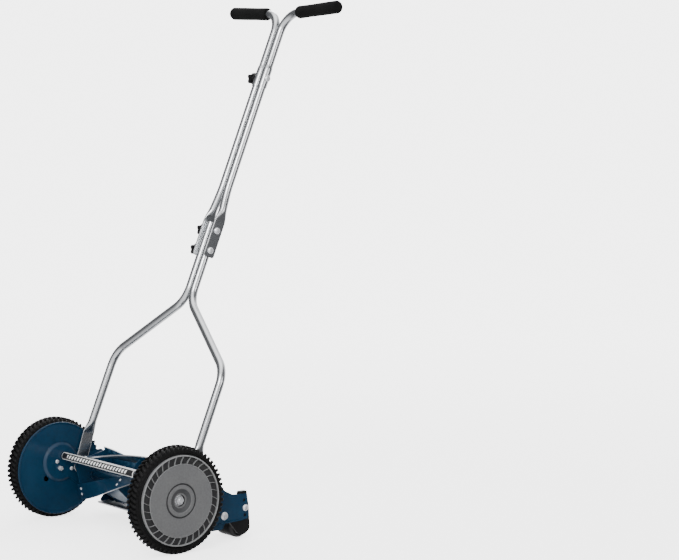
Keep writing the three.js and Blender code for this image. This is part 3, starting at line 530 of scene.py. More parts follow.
def lugMesh(name, side, outward):  # one tread block that runs over the tyre's shoulder
    top, low = wheelSize["tyre"], wheelSize["tread"] - 2.0
    path = [(0.6, top - 0.5, 0.0), (2.0, top, 0.3), (10.0, top, 2.3), (13.0, top - 1.3, 3.0),
            (14.9, 104.4, 3.3), (15.4, 98.8, 3.35)]
    width = (0.9, 1.25, 1.35, 1.4, 1.45, 0.9)
    points, faces = [], []
    for (reach, radius, turn), half in zip(path, width):
        x = side * (wheelSize["middle"] + outward * reach)
        deep = min(low, radius - 1.0)
        inset = side * outward * (-2.4 if reach > 13.5 else 0.0)
        for r, dx, wide in ((radius, 0.0, half), (deep, inset, half * 1.25)):
            for sign in (-1, 1):
                angle = math.radians(turn + sign * wide)
                points.append(Vector((x + dx, -r * math.sin(angle), r * math.cos(angle))))
    for i in range(len(path) - 1):
        a, b = i * 4, i * 4 + 4
        for p, q in ((0, 1), (1, 3), (3, 2), (2, 0)):
            faces.append([a + p, a + q, b + q, b + p])
    faces.append([0, 2, 3, 1])
    last = (len(path) - 1) * 4
    faces.append([last, last + 1, last + 3, last + 2])
    mesh = makeMesh(name, [(points, faces, 0)], [tyreRubber], scaleToRow=False)
    bm = bmesh.new()
    bm.from_mesh(mesh)
    crest = [e for e in bm.edges if len(e.link_faces) == 2 and e.calc_face_angle() > math.radians(50)]
    bmesh.ops.bevel(bm, geom=crest, offset=0.5, segments=1, affect="EDGES", clamp_overlap=True)
    bm.to_mesh(mesh)
    bm.free()
    return mesh


def makeTyre(label, side):
    carcass, rings = tyreShells()
    shells = [lathe(carcass, side, segments=144)] + [lathe(ring, side, segments=144) for ring in rings]
    meshes = [makeMesh("carcass", shells, [tyreRubber])]
    step = 2 * math.pi / wheelSize["lugs"]
    for outward in (1, -1):
        lugs = grow("lugs", lugMesh("lug", side, outward), aroundAxis, Count=wheelSize["lugs"],
                    Turn_Step=step, Turn_Start=0.0 if outward > 0 else step / 2, Material=tyreRubber)
        meshes.append(lugs)
    ridePiece(f"tyre_{label}_tread", mergeMeshes("tread", meshes), f"wheel_{label}",
              [f"tyre_{label}"], sharp=30)


def makeWheel(label, side):
    rim, hub = wheelSize["rim"], wheelSize["hub"]
    body = [(wheelSize["spindle"], 221.2, 0.4), (hub, 221.2, 0.8), (hub, 235.8, 2.5), (rim - 3, 235.8, 1.5),
            (rim - 3, 231.6), (rim, 231.6, 0.2), (rim, 249.6, 0.5), (rim - 2.4, 249.6, 0.5),
            (rim - 3, 239.3, 1.5), (hub, 239.3, 2.5), (hub, 244.8, 0.8), (wheelSize["spindle"], 244.8, 0.4)]
    ring = [(86.4, 222.1, 0.2), (rim, 222.1, 0.4), (rim, 231.5, 0.2), (86.4, 231.5, 0.2)]
    shells = [lathe(profile, side, segments=128) for profile in (body, ring)]
    tooth = sheetMetal([(82.3, -1.05), (82.3, 1.05), (86.6, 2.3), (86.6, -2.3)], [], 222.3, 9.0, side, 0.2)
    count = wheelSize["teeth"]
    teeth = ringOf("teeth", tooth, gearPlastic, count, meshAngle + math.pi / count)
    rib = sheetMetal([(18, -1.2), (18, 1.2), (88, 1.2), (88, -1.2)], [], 232.0, 4.2, side, 0.3)
    ribs = ringOf("webRibs", rib, gearPlastic, wheelSize["webRibs"])
    merged = mergeMeshes("wheelBody", [makeMesh("wheelLathe", shells, [gearPlastic]), teeth, ribs])
    ridePiece(f"wheel_{label}_moulding", merged, f"wheel_{label}", [f"wheel_{label}"])


def makeCover(label, side):
    face, outer, ringInner, band = (wheelSize[k] for k in ("face", "cover", "ringInner", "band"))
    # the outer rim ring takes the lighter grey, a painted highlight
    ring = [(ringInner, 250.3, 0.3), (outer, 250.3, 0.4), (outer, face - 0.8, 0.4), (outer - 0.7, face, 0.4),
            (ringInner + 0.5, face, 0.3), (ringInner, face - 0.7, 0.3)]
    bore, (grooveIn, grooveOut) = wheelSize["coverBore"], wheelSize["groove"]
    disc = [(bore, 250.4, 0.3), (band, 250.4, 0.3), (band, face - 0.9, 0.5), (band - 0.7, face - 0.35, 0.4),
            (band - 2.0, face - 0.75, 0.5), (grooveOut, face - 0.6, 0.3), (grooveOut - 0.6, face - 1.7, 0.4),
            (grooveIn + 0.6, face - 1.7, 0.4), (grooveIn, face - 0.5, 0.4), (24.4, face - 0.5, 0.6),
            (22.2, face - 2.6, 0.8), (15.4, face - 5.0, 0.6), (bore, face - 5.0, 0.3)]
    # thin near-black rings set into the groove and under the slots between the ribs: painted shade
    grooveShadeRing = [(grooveOut - 0.3, face - 1.82), (grooveOut - 0.3, face - 1.4),
                   (grooveIn + 0.3, face - 1.4), (grooveIn + 0.3, face - 1.82)]
    # a thin dark grey cone ring laid into the hub's recess: painted shade
    recess = [(23.4, face - 1.75), (23.4, face - 1.3), (15.2, face - 4.75), (15.2, face - 5.2)]
    slotShadeRing = [(band - 0.5, 252.4), (ringInner + 0.5, 252.4), (ringInner + 0.5, 252.8), (band - 0.5, 252.8)]
    materials = [coverGrey, coverHighlight, recessPaintedShade, slotShade]
    parts = ((ring, 144, 1), (disc, 144, 0), (grooveShadeRing, 144, 3), (recess, 96, 2), (slotShadeRing, 128, 3))
    shells = [lathe(profile, side, segments=count, material=index) for profile, count, index in parts]
    base = makeMesh("coverLathe", shells, materials)
    curl, half, steps, outline = wheelSize["ribCurl"], wheelSize["ribHalf"], 8, []
    for sign in (-1, 1):
        stretch = range(steps + 1) if sign < 0 else range(steps, -1, -1)
        for k in stretch:
            radius = band - 0.8 + (ringInner - band + 1.6) * k / steps
            swing = math.radians(curl * (k / steps) ** 1.4) * -side + sign * half / radius
            outline.append((radius * math.cos(swing), radius * math.sin(swing)))
    # the ribs and the lip take the lighter grey, a painted highlight on the raised parts
    rib = sheetMetal(outline, [], 250.6, 5.6, side, 0.2)
    ribs = ringOf("coverRibs", rib, coverHighlight, wheelSize["ribs"])
    lip = lathe([(band, 255.4), (band + 0.9, 255.6, 0.3), (band + 0.9, 256.6, 0.3), (band, 256.6)], side,
                segments=144)
    merged = mergeMeshes("cover", [base, ribs, makeMesh("coverLip", [lip], [coverHighlight])])
    ridePiece(f"wheel_cover_{label}_disc", merged, f"wheel_{label}",
              [f"wheel_cover_{label}"], 30)


def hexagon(acrossFlats, y=0.0, z=0.0):
    return circle(acrossFlats / math.sqrt(3), y, z, 6)


axleSize = {"face": 213.3, "flange": 3.0, "nutFlats": 15.6, "nutBore": 5.35, "nutFrom": 247.5, "nutHigh": 5.6,
            "studs": ((-7, 15), (28.5, -3.5))}


def makeAxle(label, side):
    outline = rounded([(-14, 6, 5), (-10, 23, 5), (8, 12, 6), (34, 4, 5), (36, -8, 5), (8, -13, 6),
                       (-11, -9, 6)])
    flange = sheetMetal(outline, [], axleSize["face"], axleSize["flange"], side, 0.5)
    spindle = lathe([(0, 204.6), (4.9, 204.6, 0.6), (4.9, 214), (10, 214, 0.5), (10, 219.3, 0.8),
                     (6.3, 219.4, 0.4), (6.3, 245.5, 0.6), (4.9, 245.7), (4.9, 254.2, 0.3),
                     (4.2, 255.3, 0.6), (0, 255.3)], side, segments=40)
    studs = [lathe([(0, 207.5), (3.0, 207.8, 0.8), (4.1, 209.2, 0.8), (4.1, 214), (0, 214)], side, y, z, 24)
             for y, z in axleSize["studs"]]
    addPiece(f"stub_axle_{label}", "forging", [flange, spindle] + studs, zinc, "frame", even=True)
    washer = lathe([(5.4, 246.4), (11.2, 246.4, 0.3), (11.2, 247.4, 0.5), (9.0, 247.9, 0.5), (5.4, 248.0)],
                   side, segments=56)
    nut = sheetMetal(hexagon(axleSize["nutFlats"]), [circle(axleSize["nutBore"])], axleSize["nutFrom"],
                     axleSize["nutHigh"], side, 0.7)
    addPiece(f"axle_nut_{label}", "hex", [washer, nut], zinc, "frame", even=True)


for label, side in sides:
    makeTyre(label, side)
    makeWheel(label, side)
    makeCover(label, side)
    makeAxle(label, side)
print("wheels made")


plateSize = {"inside": 211.0, "sheet": 2.0, "dish": 215.5, "dishRadius": 99.5, "boss": (4.0, 13.0),
             "bossRadius": 38.0}


def makeSidePlate(label, side):
    inside, sheet, dish, radius = (plateSize[k] for k in ("inside", "sheet", "dish", "dishRadius"))
    bossY, bossZ = plateSize["boss"]
    bossR = plateSize["bossRadius"]
    dishHoles = [circle(bossR + 5.5, bossY, bossZ, 72), circle(6.5, -31, -20, 28)]
    dishWeb = sheetMetal(circle(radius - 2.5, count=96), dishHoles, dish, sheet, side, 0.0)
    roll = lathe([(radius - 5.0, dish, 0.5), (radius - 3.4, dish - 0.6, 1.0), (radius - 2.4, 213.3, 0.8),
                  (radius - 0.4, 213.6, 1.0), (radius, 216.0, 1.4), (radius - 0.8, 218.4, 1.2),
                  (radius - 3.0, 218.3, 0.8), (radius - 5.0, dish + sheet, 0.5)], side, segments=128)
    boss = lathe([(12.6, inside, 0.3), (bossR - 1, inside, 3.0), (bossR + 4.4, dish, 2.5),
                  (bossR + 6.2, dish, 0.3), (bossR + 6.2, dish + sheet, 0.3),
                  (bossR + 3.6, dish + sheet, 2.5), (bossR - 1.8, inside + sheet, 3.0),
                  (12.6, inside + sheet, 0.3)], side, bossY, bossZ, 96)
    armHoles = [circle(12.6, *reelAxis, 40), circle(4.3, 48, 0, 20), circle(4.3, 133.5, -54, 20),
                circle(3.4, 186, -43, 20), circle(3.5, 183.4, -27, 20), circle(3.5, 185, -58, 20)]
    armOutline = rounded([(10, 36, 6), (58, 25, 10), (104, 32, 10), (118, 22, 10), (134, -2, 14),
                          (155, -12.5, 8), (191, -14, 3), (193, -66, 4), (118, -70, 12), (60, -52, 20),
                          (12, -14, 8)])
    arm = sheetMetal(armOutline, armHoles, inside - 0.02, sheet, side, 0.35)
    coreHoles = [circle(5.2, 0, 0, 24), circle(4.4, -7, 15, 20), circle(4.4, 28.5, -3.5, 20),
                 circle(6.4, 10, 26, 24)]
    core = sheetMetal(circle(bossR - 3, bossY, bossZ, 72), coreHoles, inside - 0.04, sheet, side, 0.0)
    lipOutline = rounded([(119, -69.8, 1), (119, -67.8, 1), (180, -65.3, 1), (180, -67.3, 1)], steps=3)
    lip = sheetMetal(lipOutline, [], inside + 0.3, 4.3, side, 0.3)
    shells = [dishWeb, roll, boss, arm, core, lip]
    addPiece(f"side_plate_{label}", "steel", shells, enamel, "frame", even=True)


def dome(y, z, side, base, radius, height):
    return lathe([(0, base), (radius, base), (radius, base + height * 0.25, height * 0.4),
                  (radius * 0.62, base + height * 0.92, height), (0, base + height)], side, y, z, 28)


def hexNut(y, z, side, base, acrossFlats, height, bore):
    return sheetMetal(hexagon(acrossFlats, y, z), [circle(bore, y, z, 20)], base, height, side, 0.5)


boltPlan = {  # name: (y, z, shank radius, inboard end, head radius, head height, nut across flats)
    "handle_pivot_bolt": (48.0, 0.0, 3.9, 200.1, 4.8, 1.5, 11.6),
    "bracket_bolt": (133.5, -54.0, 3.9, 191.7, 8.4, 4.1, 11.6),
    "height_bolt": (186.0, -43.0, 3.1, 195.3, 6.7, 3.9, 10.2),
}


def makeFrameBolts(label, side):
    for kind, (y, z, shank, start, headRadius, headHeight, flats) in boltPlan.items():
        rod = lathe([(0, start), (shank, start, 0.5), (shank, 213.6), (0, 213.6)], side, y, z, 24)
        head = dome(y, z, side, 213.4, headRadius, headHeight)
        nut = hexNut(y, z, side, start + 2.1, flats, 4.8, shank - 0.1)
        shells = [rod, head, nut]
        if headRadius > 6:  # the larger bolts have a hexagon under the dome
            collar = hexagon(headRadius * 1.1, y, z)
            shells.append(sheetMetal(collar, [], 213.5, headHeight + 0.05, side, 0.6))
        addPiece(f"{kind}_{label}", "fastener", shells, zinc, "frame", even=True)


barSize = {"y": 10.0, "z": 26.0, "radius": 9.45, "end": 210.6, "labelFrom": -204.0, "labelTo": 78.0,
           "wrap": 54.0, "labelRaise": 18.0}


def makeTieBar():
    y, z, radius, end = (barSize[k] for k in ("y", "z", "radius", "end"))
    bar = lathe([(0, -end - 6.3), (4.6, -end - 6.3, 1.0), (5.9, -end - 4.6, 0.8), (5.9, -end),
                 (radius, -end, 0.8), (radius, end, 0.8), (5.9, end), (5.9, end + 4.6, 0.8),
                 (4.6, end + 6.3, 1.0), (0, end + 6.3)], 1, y, z, 64)
    addPiece("tie_bar", "rod", [bar], tubeSteel, "frame")
    start, stop, wrap = barSize["labelFrom"], barSize["labelTo"], math.radians(barSize["wrap"])
    middle = math.pi - math.radians(barSize["labelRaise"])
    across, along, skin = 24, 60, radius + 0.04
    points, faces = [], []
    for i in range(along + 1):
        x = start + (stop - start) * i / along
        for k in range(across + 1):
            angle = middle + wrap * (2 * k / across - 1)
            points.append(Vector((x, y + skin * math.cos(angle), z + skin * math.sin(angle))))
    for i in range(along):
        for k in range(across):
            a = i * (across + 1) + k
            faces.append([a, a + 1, a + across + 2, a + across + 1])
    mesh = bpy.data.meshes.new("barLabel")
    mesh.from_pydata([tuple(p) for p in points], [], faces)
    uv = mesh.uv_layers.new(name="labelMap")
    for loop in mesh.loops:
        i, k = divmod(loop.vertex_index, across + 1)
        uv.data[loop.index].uv = ((stop - start) * (i / along - 0.5), skin * wrap * (2 * k / across - 1))
    mesh.polygons.foreach_set("use_smooth", [True] * len(mesh.polygons))
    if mesh.polygons[0].normal.y > 0:
        mesh.flip_normals()
    mesh.materials.append(makeLabelMaterial((stop - start) / 2, skin * wrap))
    mesh.transform(toRow)
    label = ridePiece("tie_bar_label", mesh, "frame")
    wall = label.modifiers.new("film", "SOLIDIFY")
    wall.thickness, wall.offset = 0.00012, 0.0


for label, side in sides:
    makeSidePlate(label, side)
    makeFrameBolts(label, side)
makeTieBar()
print("side frames made")


reelSize = {"radius": 63.0, "half": 190.0, "blades": 4, "width": 36.0, "thick": 3.0, "twist": -0.3237,
            "shaft": 7.85, "spiders": (183.0, 0.0, -183.0), "seatGap": 0.85, "landRadius": 60.9,
            "rivetDown": (13.0, 25.0), "tab": 15.0, "phase": 135.0}
blockHalf = reelSize["radius"] * math.sqrt(0.5)
seat = blockHalf - reelSize["thick"] - reelSize["seatGap"]


def twisted(shell):  # the same turn that the blades have, for small pieces that follow them
    points, faces, material = shell
    result = []
    for p in points:
        turn = Matrix.Rotation(math.radians(reelSize["phase"] + reelSize["twist"] * p.x), 3, "X")
        result.append(turn @ p + Vector((0, *reelAxis)))
    return result, faces, material


def bladeStrip():
    half, width, thick, steps = blockHalf, reelSize["width"], reelSize["thick"], 110
    depth = half - thick
    section = rounded([(half - 0.4, half - 0.4), (depth, half - 0.8), (depth - 0.4, half - width + 0.4, 0.8),
                       (half - 0.8, half - width, 0.8), (half, half - 6.0, 0.5)], steps=2)
    count = len(section)
    points, faces = [], []
    for i in range(steps + 1):
        x = reelSize["half"] * (2 * i / steps - 1)
        points += [Vector((x, y, z)) for y, z in section]
    for i in range(steps):
        for k in range(count):
            n = (k + 1) % count
            faces.append([i * count + k, i * count + n, (i + 1) * count + n, (i + 1) * count + k])
    faces.append(list(range(count)))
    faces.append([steps * count + k for k in reversed(range(count))])
    return makeMesh("bladeStrip", [(points, faces, 0)], [rubbedEnamel], scaleToRow=False)


def makeBlades():
    for k in range(reelSize["blades"]):
        mesh = grow("blade", bladeStrip(), helixBlade, Twist=math.radians(reelSize["twist"]),
                    Phase=math.radians(reelSize["phase"] + 360 / reelSize["blades"] * k),
                    Axis_Place=(0.0, *reelAxis), Land_Radius=reelSize["landRadius"], Material=rubbedEnamel,
                    Land_Material=groundSteel)
        ridePiece(f"reel_blade_{k + 1}_helix", mesh, "reel", [f"reel_blade_{k + 1}"])


def makeSpider(label, x, tabSide):
    thick, tab = 2.5, reelSize["tab"]
    outline = rounded([(seat, seat, 3), (-seat, seat, 3), (-seat, -seat, 3), (seat, -seat, 3)])
    web = sheetMetal(outline, [circle(8.2, count=40)], x - thick / 2, thick, 1, 0.35)
    collar = lathe([(8.2, x - 5, 0.3), (12.9, x - 5, 0.9), (12.9, x + 5, 0.9), (8.2, x + 5, 0.3)], 1,
                   segments=48)
    start = min(x, x + tabSide * tab)
    shells = [web, collar]
    tabOutline = [(seat - 2.3, seat - 28), (seat, seat - 28), (seat, seat - 4), (seat - 2.3, seat - 4)]
    flange = sheetMetal(tabOutline, [], start, tab, 1, 0.4)
    for k in range(reelSize["blades"]):
        shells.append(moved(flange, Matrix.Rotation(k * math.pi / 2, 4, "X")))
    addPiece(f"reel_spider_{label}", "plate", [twisted(s) for s in shells], enamel, "reel", even=True)


def makeRivets():  # two domed rivets hold each blade to each spider tab
    meshes = []
    for spiderX in reelSize["spiders"]:
        x = spiderX - math.copysign(reelSize["tab"] / 2, spiderX)
        start = math.radians(reelSize["phase"] + reelSize["twist"] * x)
        for down in reelSize["rivetDown"]:
            local = lathe([(0, 0), (3.1, 0), (3.0, 0.5, 0.4), (1.8, 1.4, 0.8), (0, 1.7)], 1, segments=14)
            onBlade = Matrix.Translation((x, blockHalf - 0.12, blockHalf - down))
            local = moved(local, onBlade @ Matrix.Rotation(math.pi / 2, 4, "Z"))
            meshes.append(ringOf("rivets", local, zinc, reelSize["blades"], start, reelAxis))
    ridePiece("reel_rivets", mergeMeshes("reelRivets", meshes), "reel", sharp=50)


def makeShaft():
    radius = reelSize["shaft"]
    rod = lathe([(0, -233), (5.7, -233, 0.8), (5.7, -209.5, 0.3), (radius, -209.5, 0.8), (radius, 209.5, 0.8),
                 (5.7, 209.5, 0.3), (5.7, 233, 0.8), (0, 233)], 1, *reelAxis, 48)
    addPiece("reel_shaft", "rod", [rod], enamel, "reel")


makeBlades()
for label, x, tabSide in zip(("left", "middle", "right"), reelSize["spiders"], (-1, -1, 1)):
    makeSpider(label, x, tabSide)
makeRivets()
makeShaft()
print("reel made")


drivePlan = {  # name: (suffix, body, material, segments, profile)
    "bearing_cup": ("race", "frame", hardSteel, 48, [
        (9, 211.2, 0.4), (12, 211.2, 0.6), (12, 217.8), (15, 217.8, 0.4), (15, 219.4, 0.6), (9, 219.4, 0.4)]),
    "bearing_cone": ("race", "reel", hardSteel, 48, [
        (6.2, 211.6, 0.2), (8.3, 211.6, 0.5), (7.4, 215.5, 1.5), (8.3, 220.6, 0.5), (6.2, 220.6, 0.2)]),
    "pinion_clip": ("ring", "reel", zinc, 40, [
        (6.4, 231.55, 0.2), (9.4, 231.55, 0.3), (9.4, 232.35, 0.3), (6.4, 232.35, 0.2)]),
}


def makeDrive(label, side):
    for kind, (suffix, body, material, segments, profile) in drivePlan.items():
        shell = lathe(profile, side, *reelAxis, segments)
        addPiece(f"{kind}_{label}", suffix, [shell], material, body)


for label, side in sides:
    makeDrive(label, side)
for kind in ("pinion", "pawl"):
    for label, side in sides:
        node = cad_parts[f"{kind}_{label}"]
        node.data.materials.clear()
        node.data.materials.append(hardSteel)
print("drive made")


knifeSize = {"lip": 79.5, "thick": 3.0, "depth": 29.0, "half": 188.0, "barHalf": 199.5, "screws": 5,
             "screwHalf": 160.0, "screwY": 102.0}
sweepRadius, lipAhead = reelSize["radius"] + 0.5, knifeSize["lip"] - reelAxis[0]
lipTop = reelAxis[1] - math.sqrt(sweepRadius ** 2 - lipAhead ** 2) - 0.2
shelfTop = lipTop - knifeSize["thick"] - 0.3


def makeCutter():
    lip, half, shelf = knifeSize["lip"], knifeSize["barHalf"], shelfTop
    section = rounded([(lip + 8, shelf, 0.5), (129, shelf, 3), (129, -50, 0.8), (132, -50, 0.8),
                       (132, shelf - 3, 6), (lip + 8, shelf - 3, 0.5)])
    bar = sheetMetal(section, [], -half, 2 * half, 1, 0.0)
    ear = rounded([(96, shelf - 3, 3), (96, shelf + 6, 5), (126, -44, 10), (143, -44, 8), (146, -64, 6),
                   (136, shelf - 3, 6)])
    ears = [sheetMetal(ear, [circle(4.3, 133.5, -54, 20)], 199.0, 3.6, side, 0.4) for _, side in sides]
    addPiece("cutter_bar", "angle", [bar] + ears, enamel, "cutter", even=True)
    thick = knifeSize["thick"]
    blade = sheetMetal([(lip, lipTop), (lip + knifeSize["depth"], lipTop),
                        (lip + knifeSize["depth"], lipTop - thick), (lip + 2.4, lipTop - thick),
                        (lip, lipTop - 0.9)], [], -knifeSize["half"], 2 * knifeSize["half"], 1, 0.12)
    addPiece("bed_knife", "blade", [blade], groundSteel, "cutter")
    far = knifeSize["screwHalf"]
    head = lathe([(0, 0), (4.2, 0, 0.3), (4.2, 0.6, 0.6), (2.4, 1.7, 1.0), (0, 1.9)], 1, segments=18)
    upright = Matrix.Rotation(-math.pi / 2, 4, "Y")
    heads = makeMesh("knifeScrew", [moved(head, upright)], [zinc], scaleToRow=False)
    row = grow("knifeScrews", heads, inRow, Count=knifeSize["screws"],
               First=(-far, knifeSize["screwY"], lipTop - 0.05),
               Step=(2 * far / (knifeSize["screws"] - 1), 0.0, 0.0), Material=zinc)
    ridePiece("bed_knife_screws", row, "cutter", sharp=50)


tubeSize = {"radius": 8.7, "bore": 7.55, "flatHalf": 1.55, "flatWide": 13.9, "foot": 39.0, "legX": 205.0,
            "flatX": 209.1, "pairX": 9.1, "flatGap": 10.65, "upperX": 10.35, "bend": 58.0,
            "joint": (497.0, 511.0, 555.5, 573.0), "top": (886.0, 905.0, 928.0), "gripAlong": 1056.0,
            "gripBend": 45.0, "gripEnd": 186.0, "rise": 3.0, "gripLength": 134.0, "gripRadius": 13.7,
            "sides": 28, "legBends": (261.0, 398.0), "settle": 660.0, "socket": (9.95, 9.05)}
handleNormal = Vector((0, math.cos(handleTilt), -math.sin(handleTilt)))
handleRise = Vector((0, math.sin(handleTilt), math.cos(handleTilt)))


def handlePoint(x, along, lift=0.0):
    return Vector((x, tubeSize["foot"], 0)) + handleRise * along + handleNormal * lift


def superRound(angle, a, b, flatness):  # an ellipse that squares up into a stadium as flatness goes to 1
    power = 1.0 - 0.62 * flatness
    c, s = math.cos(angle), math.sin(angle)
    return a * math.copysign(abs(c) ** power, c), b * math.copysign(abs(s) ** power, s)


def sweep(stations):  # stations: (point, outer (across, normal), inner (across, normal))
    count, ringSize = len(stations), tubeSize["sides"]
    points, faces = [], []
    for i, (at, outer, inner) in enumerate(stations):
        along = (stations[min(i + 1, count - 1)][0] - stations[max(i - 1, 0)][0]).normalized()
        across = along.cross(handleNormal).normalized()
        normal = across.cross(along)
        for a, b in (outer, inner):
            flatness = max(0.0, 1 - min(a, b) / max(a, b))
            for k in range(ringSize):
                u, v = superRound(2 * math.pi * k / ringSize, a, b, flatness)
                points.append(at + across * u + normal * v)
    for i in range(count - 1):
        for k in range(ringSize):
            n = (k + 1) % ringSize
            a, b = 2 * i * ringSize, 2 * (i + 1) * ringSize
            faces.append([a + k, a + n, b + n, b + k])
            faces.append([a + ringSize + n, a + ringSize + k, b + ringSize + k, b + ringSize + n])
    last = 2 * (count - 1) * ringSize
    for k in range(ringSize):
        n = (k + 1) % ringSize
        faces.append([n, k, ringSize + k, ringSize + n])
        faces.append([last + k, last + n, last + ringSize + n, last + ringSize + k])
    return points, faces, 0


def bentRoute(corners, radius, perBend=14):  # corners in the handle's plane, each rounded to the bend radius
    route = [corners[0]]
    for i in range(1, len(corners) - 1):
        here = Vector(corners[i])
        back, ahead = ((Vector(corners[n]) - here).normalized() for n in (i - 1, i + 1))
        half = back.angle(ahead) / 2
        middle = here + (back + ahead).normalized() * radius / math.sin(half)
        start = here + back * radius / math.tan(half) - middle
        turn = math.pi - 2 * half
        if ahead.x * back.y - ahead.y * back.x < 0:
            turn = -turn
        for k in range(perBend + 1):
            t = turn * k / perBend
            spoke = Vector((start.x * math.cos(t) - start.y * math.sin(t),
                            start.x * math.sin(t) + start.y * math.cos(t)))
            route.append(tuple(middle + spoke))
    return route + [corners[-1]]


def lerp(a, b, t):
    return a + (b - a) * t


def smooth(t):
    return t * t * (3 - 2 * t)


def tubeSection(flat):  # 1 is the flattened end, 0 the round tube
    radius, bore = tubeSize["radius"], tubeSize["bore"]
    outer = (lerp(radius, tubeSize["flatHalf"], flat), lerp(radius, tubeSize["flatWide"], flat))
    inner = (lerp(bore, 0.35, flat), lerp(bore, tubeSize["flatWide"] - 1.3, flat))
    return outer, inner


pivotY, flatEnd, roundStart = boltPlan["handle_pivot_bolt"][0], 74.0, 106.0
pivotAlong = (pivotY - tubeSize["foot"]) * math.sin(handleTilt)
pivotLift = (pivotY - tubeSize["foot"]) * math.cos(handleTilt)


def lean(along):  # how far a leg's foot stands off the handle's plane, so that it meets its pivot bolt
    return max(0.0, min((roundStart - along) / (roundStart - pivotAlong), 1.2)) * pivotLift


def makeLowerTube(label, side):
    wide, flatX, legX = tubeSize["flatWide"], tubeSize["flatX"], tubeSize["legX"]
    stations, start = [], pivotAlong - wide
    outer, inner = tubeSection(1.0)
    for k in range(9):
        along = start + wide * (1 - math.cos(math.pi / 2 * k / 8))
        part = max(0.12, math.sin(math.pi / 2 * k / 8))
        stations.append((handlePoint(side * flatX, along, lean(along)), (outer[0], outer[1] * part),
                         (inner[0], max(inner[1] * part - 0.4, 0.5))))
    stations.append((handlePoint(side * flatX, flatEnd, lean(flatEnd)), outer, inner))
    for k in range(1, 14):
        t = k / 14
        along = lerp(flatEnd, roundStart, t)
        flat = 1 - smooth(t)
        stations.append((handlePoint(side * lerp(flatX, legX, smooth(t)), along, lean(along)),
                         *tubeSection(flat)))
    pair, top = tubeSize["pairX"], tubeSize["joint"][3]
    lowBend, highBend = tubeSize["legBends"]
    corners = [(legX, roundStart), (legX, lowBend), (pair, highBend), (pair, top)]
    for x, along in bentRoute(corners, tubeSize["bend"]):
        stations.append((handlePoint(side * x, along), *tubeSection(0.0)))
    addPiece(f"lower_tube_{label}", "leg", [sweep(stations)], tubeSteel, "handle")


def makeMiddleTube(label, side):
    flatX = tubeSize["pairX"] + tubeSize["flatGap"]
    low, _, _, top = tubeSize["joint"]
    stations = []
    outer, inner = tubeSection(1.0)
    ends = ((low, 0.72), (low + 1.2, 0.9), (low + 4, 1.0), (lerp(low, top, 0.4), 1.0),
            (lerp(low, top, 0.7), 1.0), (top, 1.0))
    for along, part in ends:
        stations.append((handlePoint(side * flatX, along), (outer[0], outer[1] * part),
                         (inner[0], inner[1] * part)))
    
    for k in range(1, 25):
        t = k / 24
        x = lerp(flatX, tubeSize["upperX"], smooth(t))
        flat = 1 - smooth(min(t / 0.36, 1))
        stations.append((handlePoint(side * x, lerp(top, tubeSize["settle"], t)), *tubeSection(flat)))
    stations.append((handlePoint(side * tubeSize["upperX"], tubeSize["top"][2] - 1), *tubeSection(0.0)))
    addPiece(f"middle_tube_{label}", "rail", [sweep(stations)], tubeSteel, "handle")


def makeGripTube(label, side):
    upper, (low, _, top) = tubeSize["upperX"], tubeSize["top"]
    outerR, innerR = tubeSize["socket"]
    socket = ((outerR, outerR), (innerR, innerR))
    tube = tubeSection(0.0)
    stations = [(handlePoint(side * upper, low), *socket), (handlePoint(side * upper, top - 2), *socket)]
    for k in range(1, 6):
        t = smooth(k / 5)
        outer, inner = lerp(outerR, tube[0][0], t), lerp(innerR, tube[1][0], t)
        stations.append((handlePoint(side * upper, top - 2 + 9 * k / 5), (outer, outer), (inner, inner)))
    rise = math.tan(math.radians(tubeSize["rise"]))
    end, grip = tubeSize["gripEnd"], tubeSize["gripAlong"]
    corners = [(upper, 980.0), (upper, grip), (end, grip + (end - upper) * rise)]
    for x, along in bentRoute(corners, tubeSize["gripBend"], 18)[1:]:
        stations.append((handlePoint(side * x, along), *tube))
    addPiece(f"grip_tube_{label}", "bend", [sweep(stations)], tubeSteel, "handle")


def makeGrip(label, side):
    length, radius, rise = tubeSize["gripLength"], tubeSize["gripRadius"], math.radians(tubeSize["rise"])
    body = [(9.3, 0, 0.3), (radius - 1.2, 0, 2.2), (radius, 3.4, 3.0), (radius - 0.35, 40, 8.0),
            (radius, 90, 8.0), (radius, length - 6, 5.0), (radius - 2.2, length - 1.4, 3.0),
            (0, length - 0.2)]
    points, faces, material = lathe([(0, 0.8), (9.3, 0.8)] + body, 1, segments=56)
    start = tubeSize["gripEnd"] - (length - 4.3) * math.cos(rise)
    end = tubeSize["gripEnd"]

    def risen(x):
        return tubeSize["gripAlong"] + (x - tubeSize["upperX"]) * math.tan(rise)

    at = handlePoint(side * start, risen(start))
    direction = (handlePoint(side * end, risen(end)) - at).normalized()
    turn = Matrix.Translation(at) @ Vector((1, 0, 0)).rotation_difference(direction).to_matrix().to_4x4()
    mesh = makeMesh("foamGrip", [([turn @ p for p in points], faces, material)], [foam])
    piece = ridePiece(f"foam_grip_{label}_sleeve", mesh, "handle", [f"foam_grip_{label}"])


knobSize = {"lobes": 5, "radius": 12.1, "lobe": 1.6, "height": 11.0}


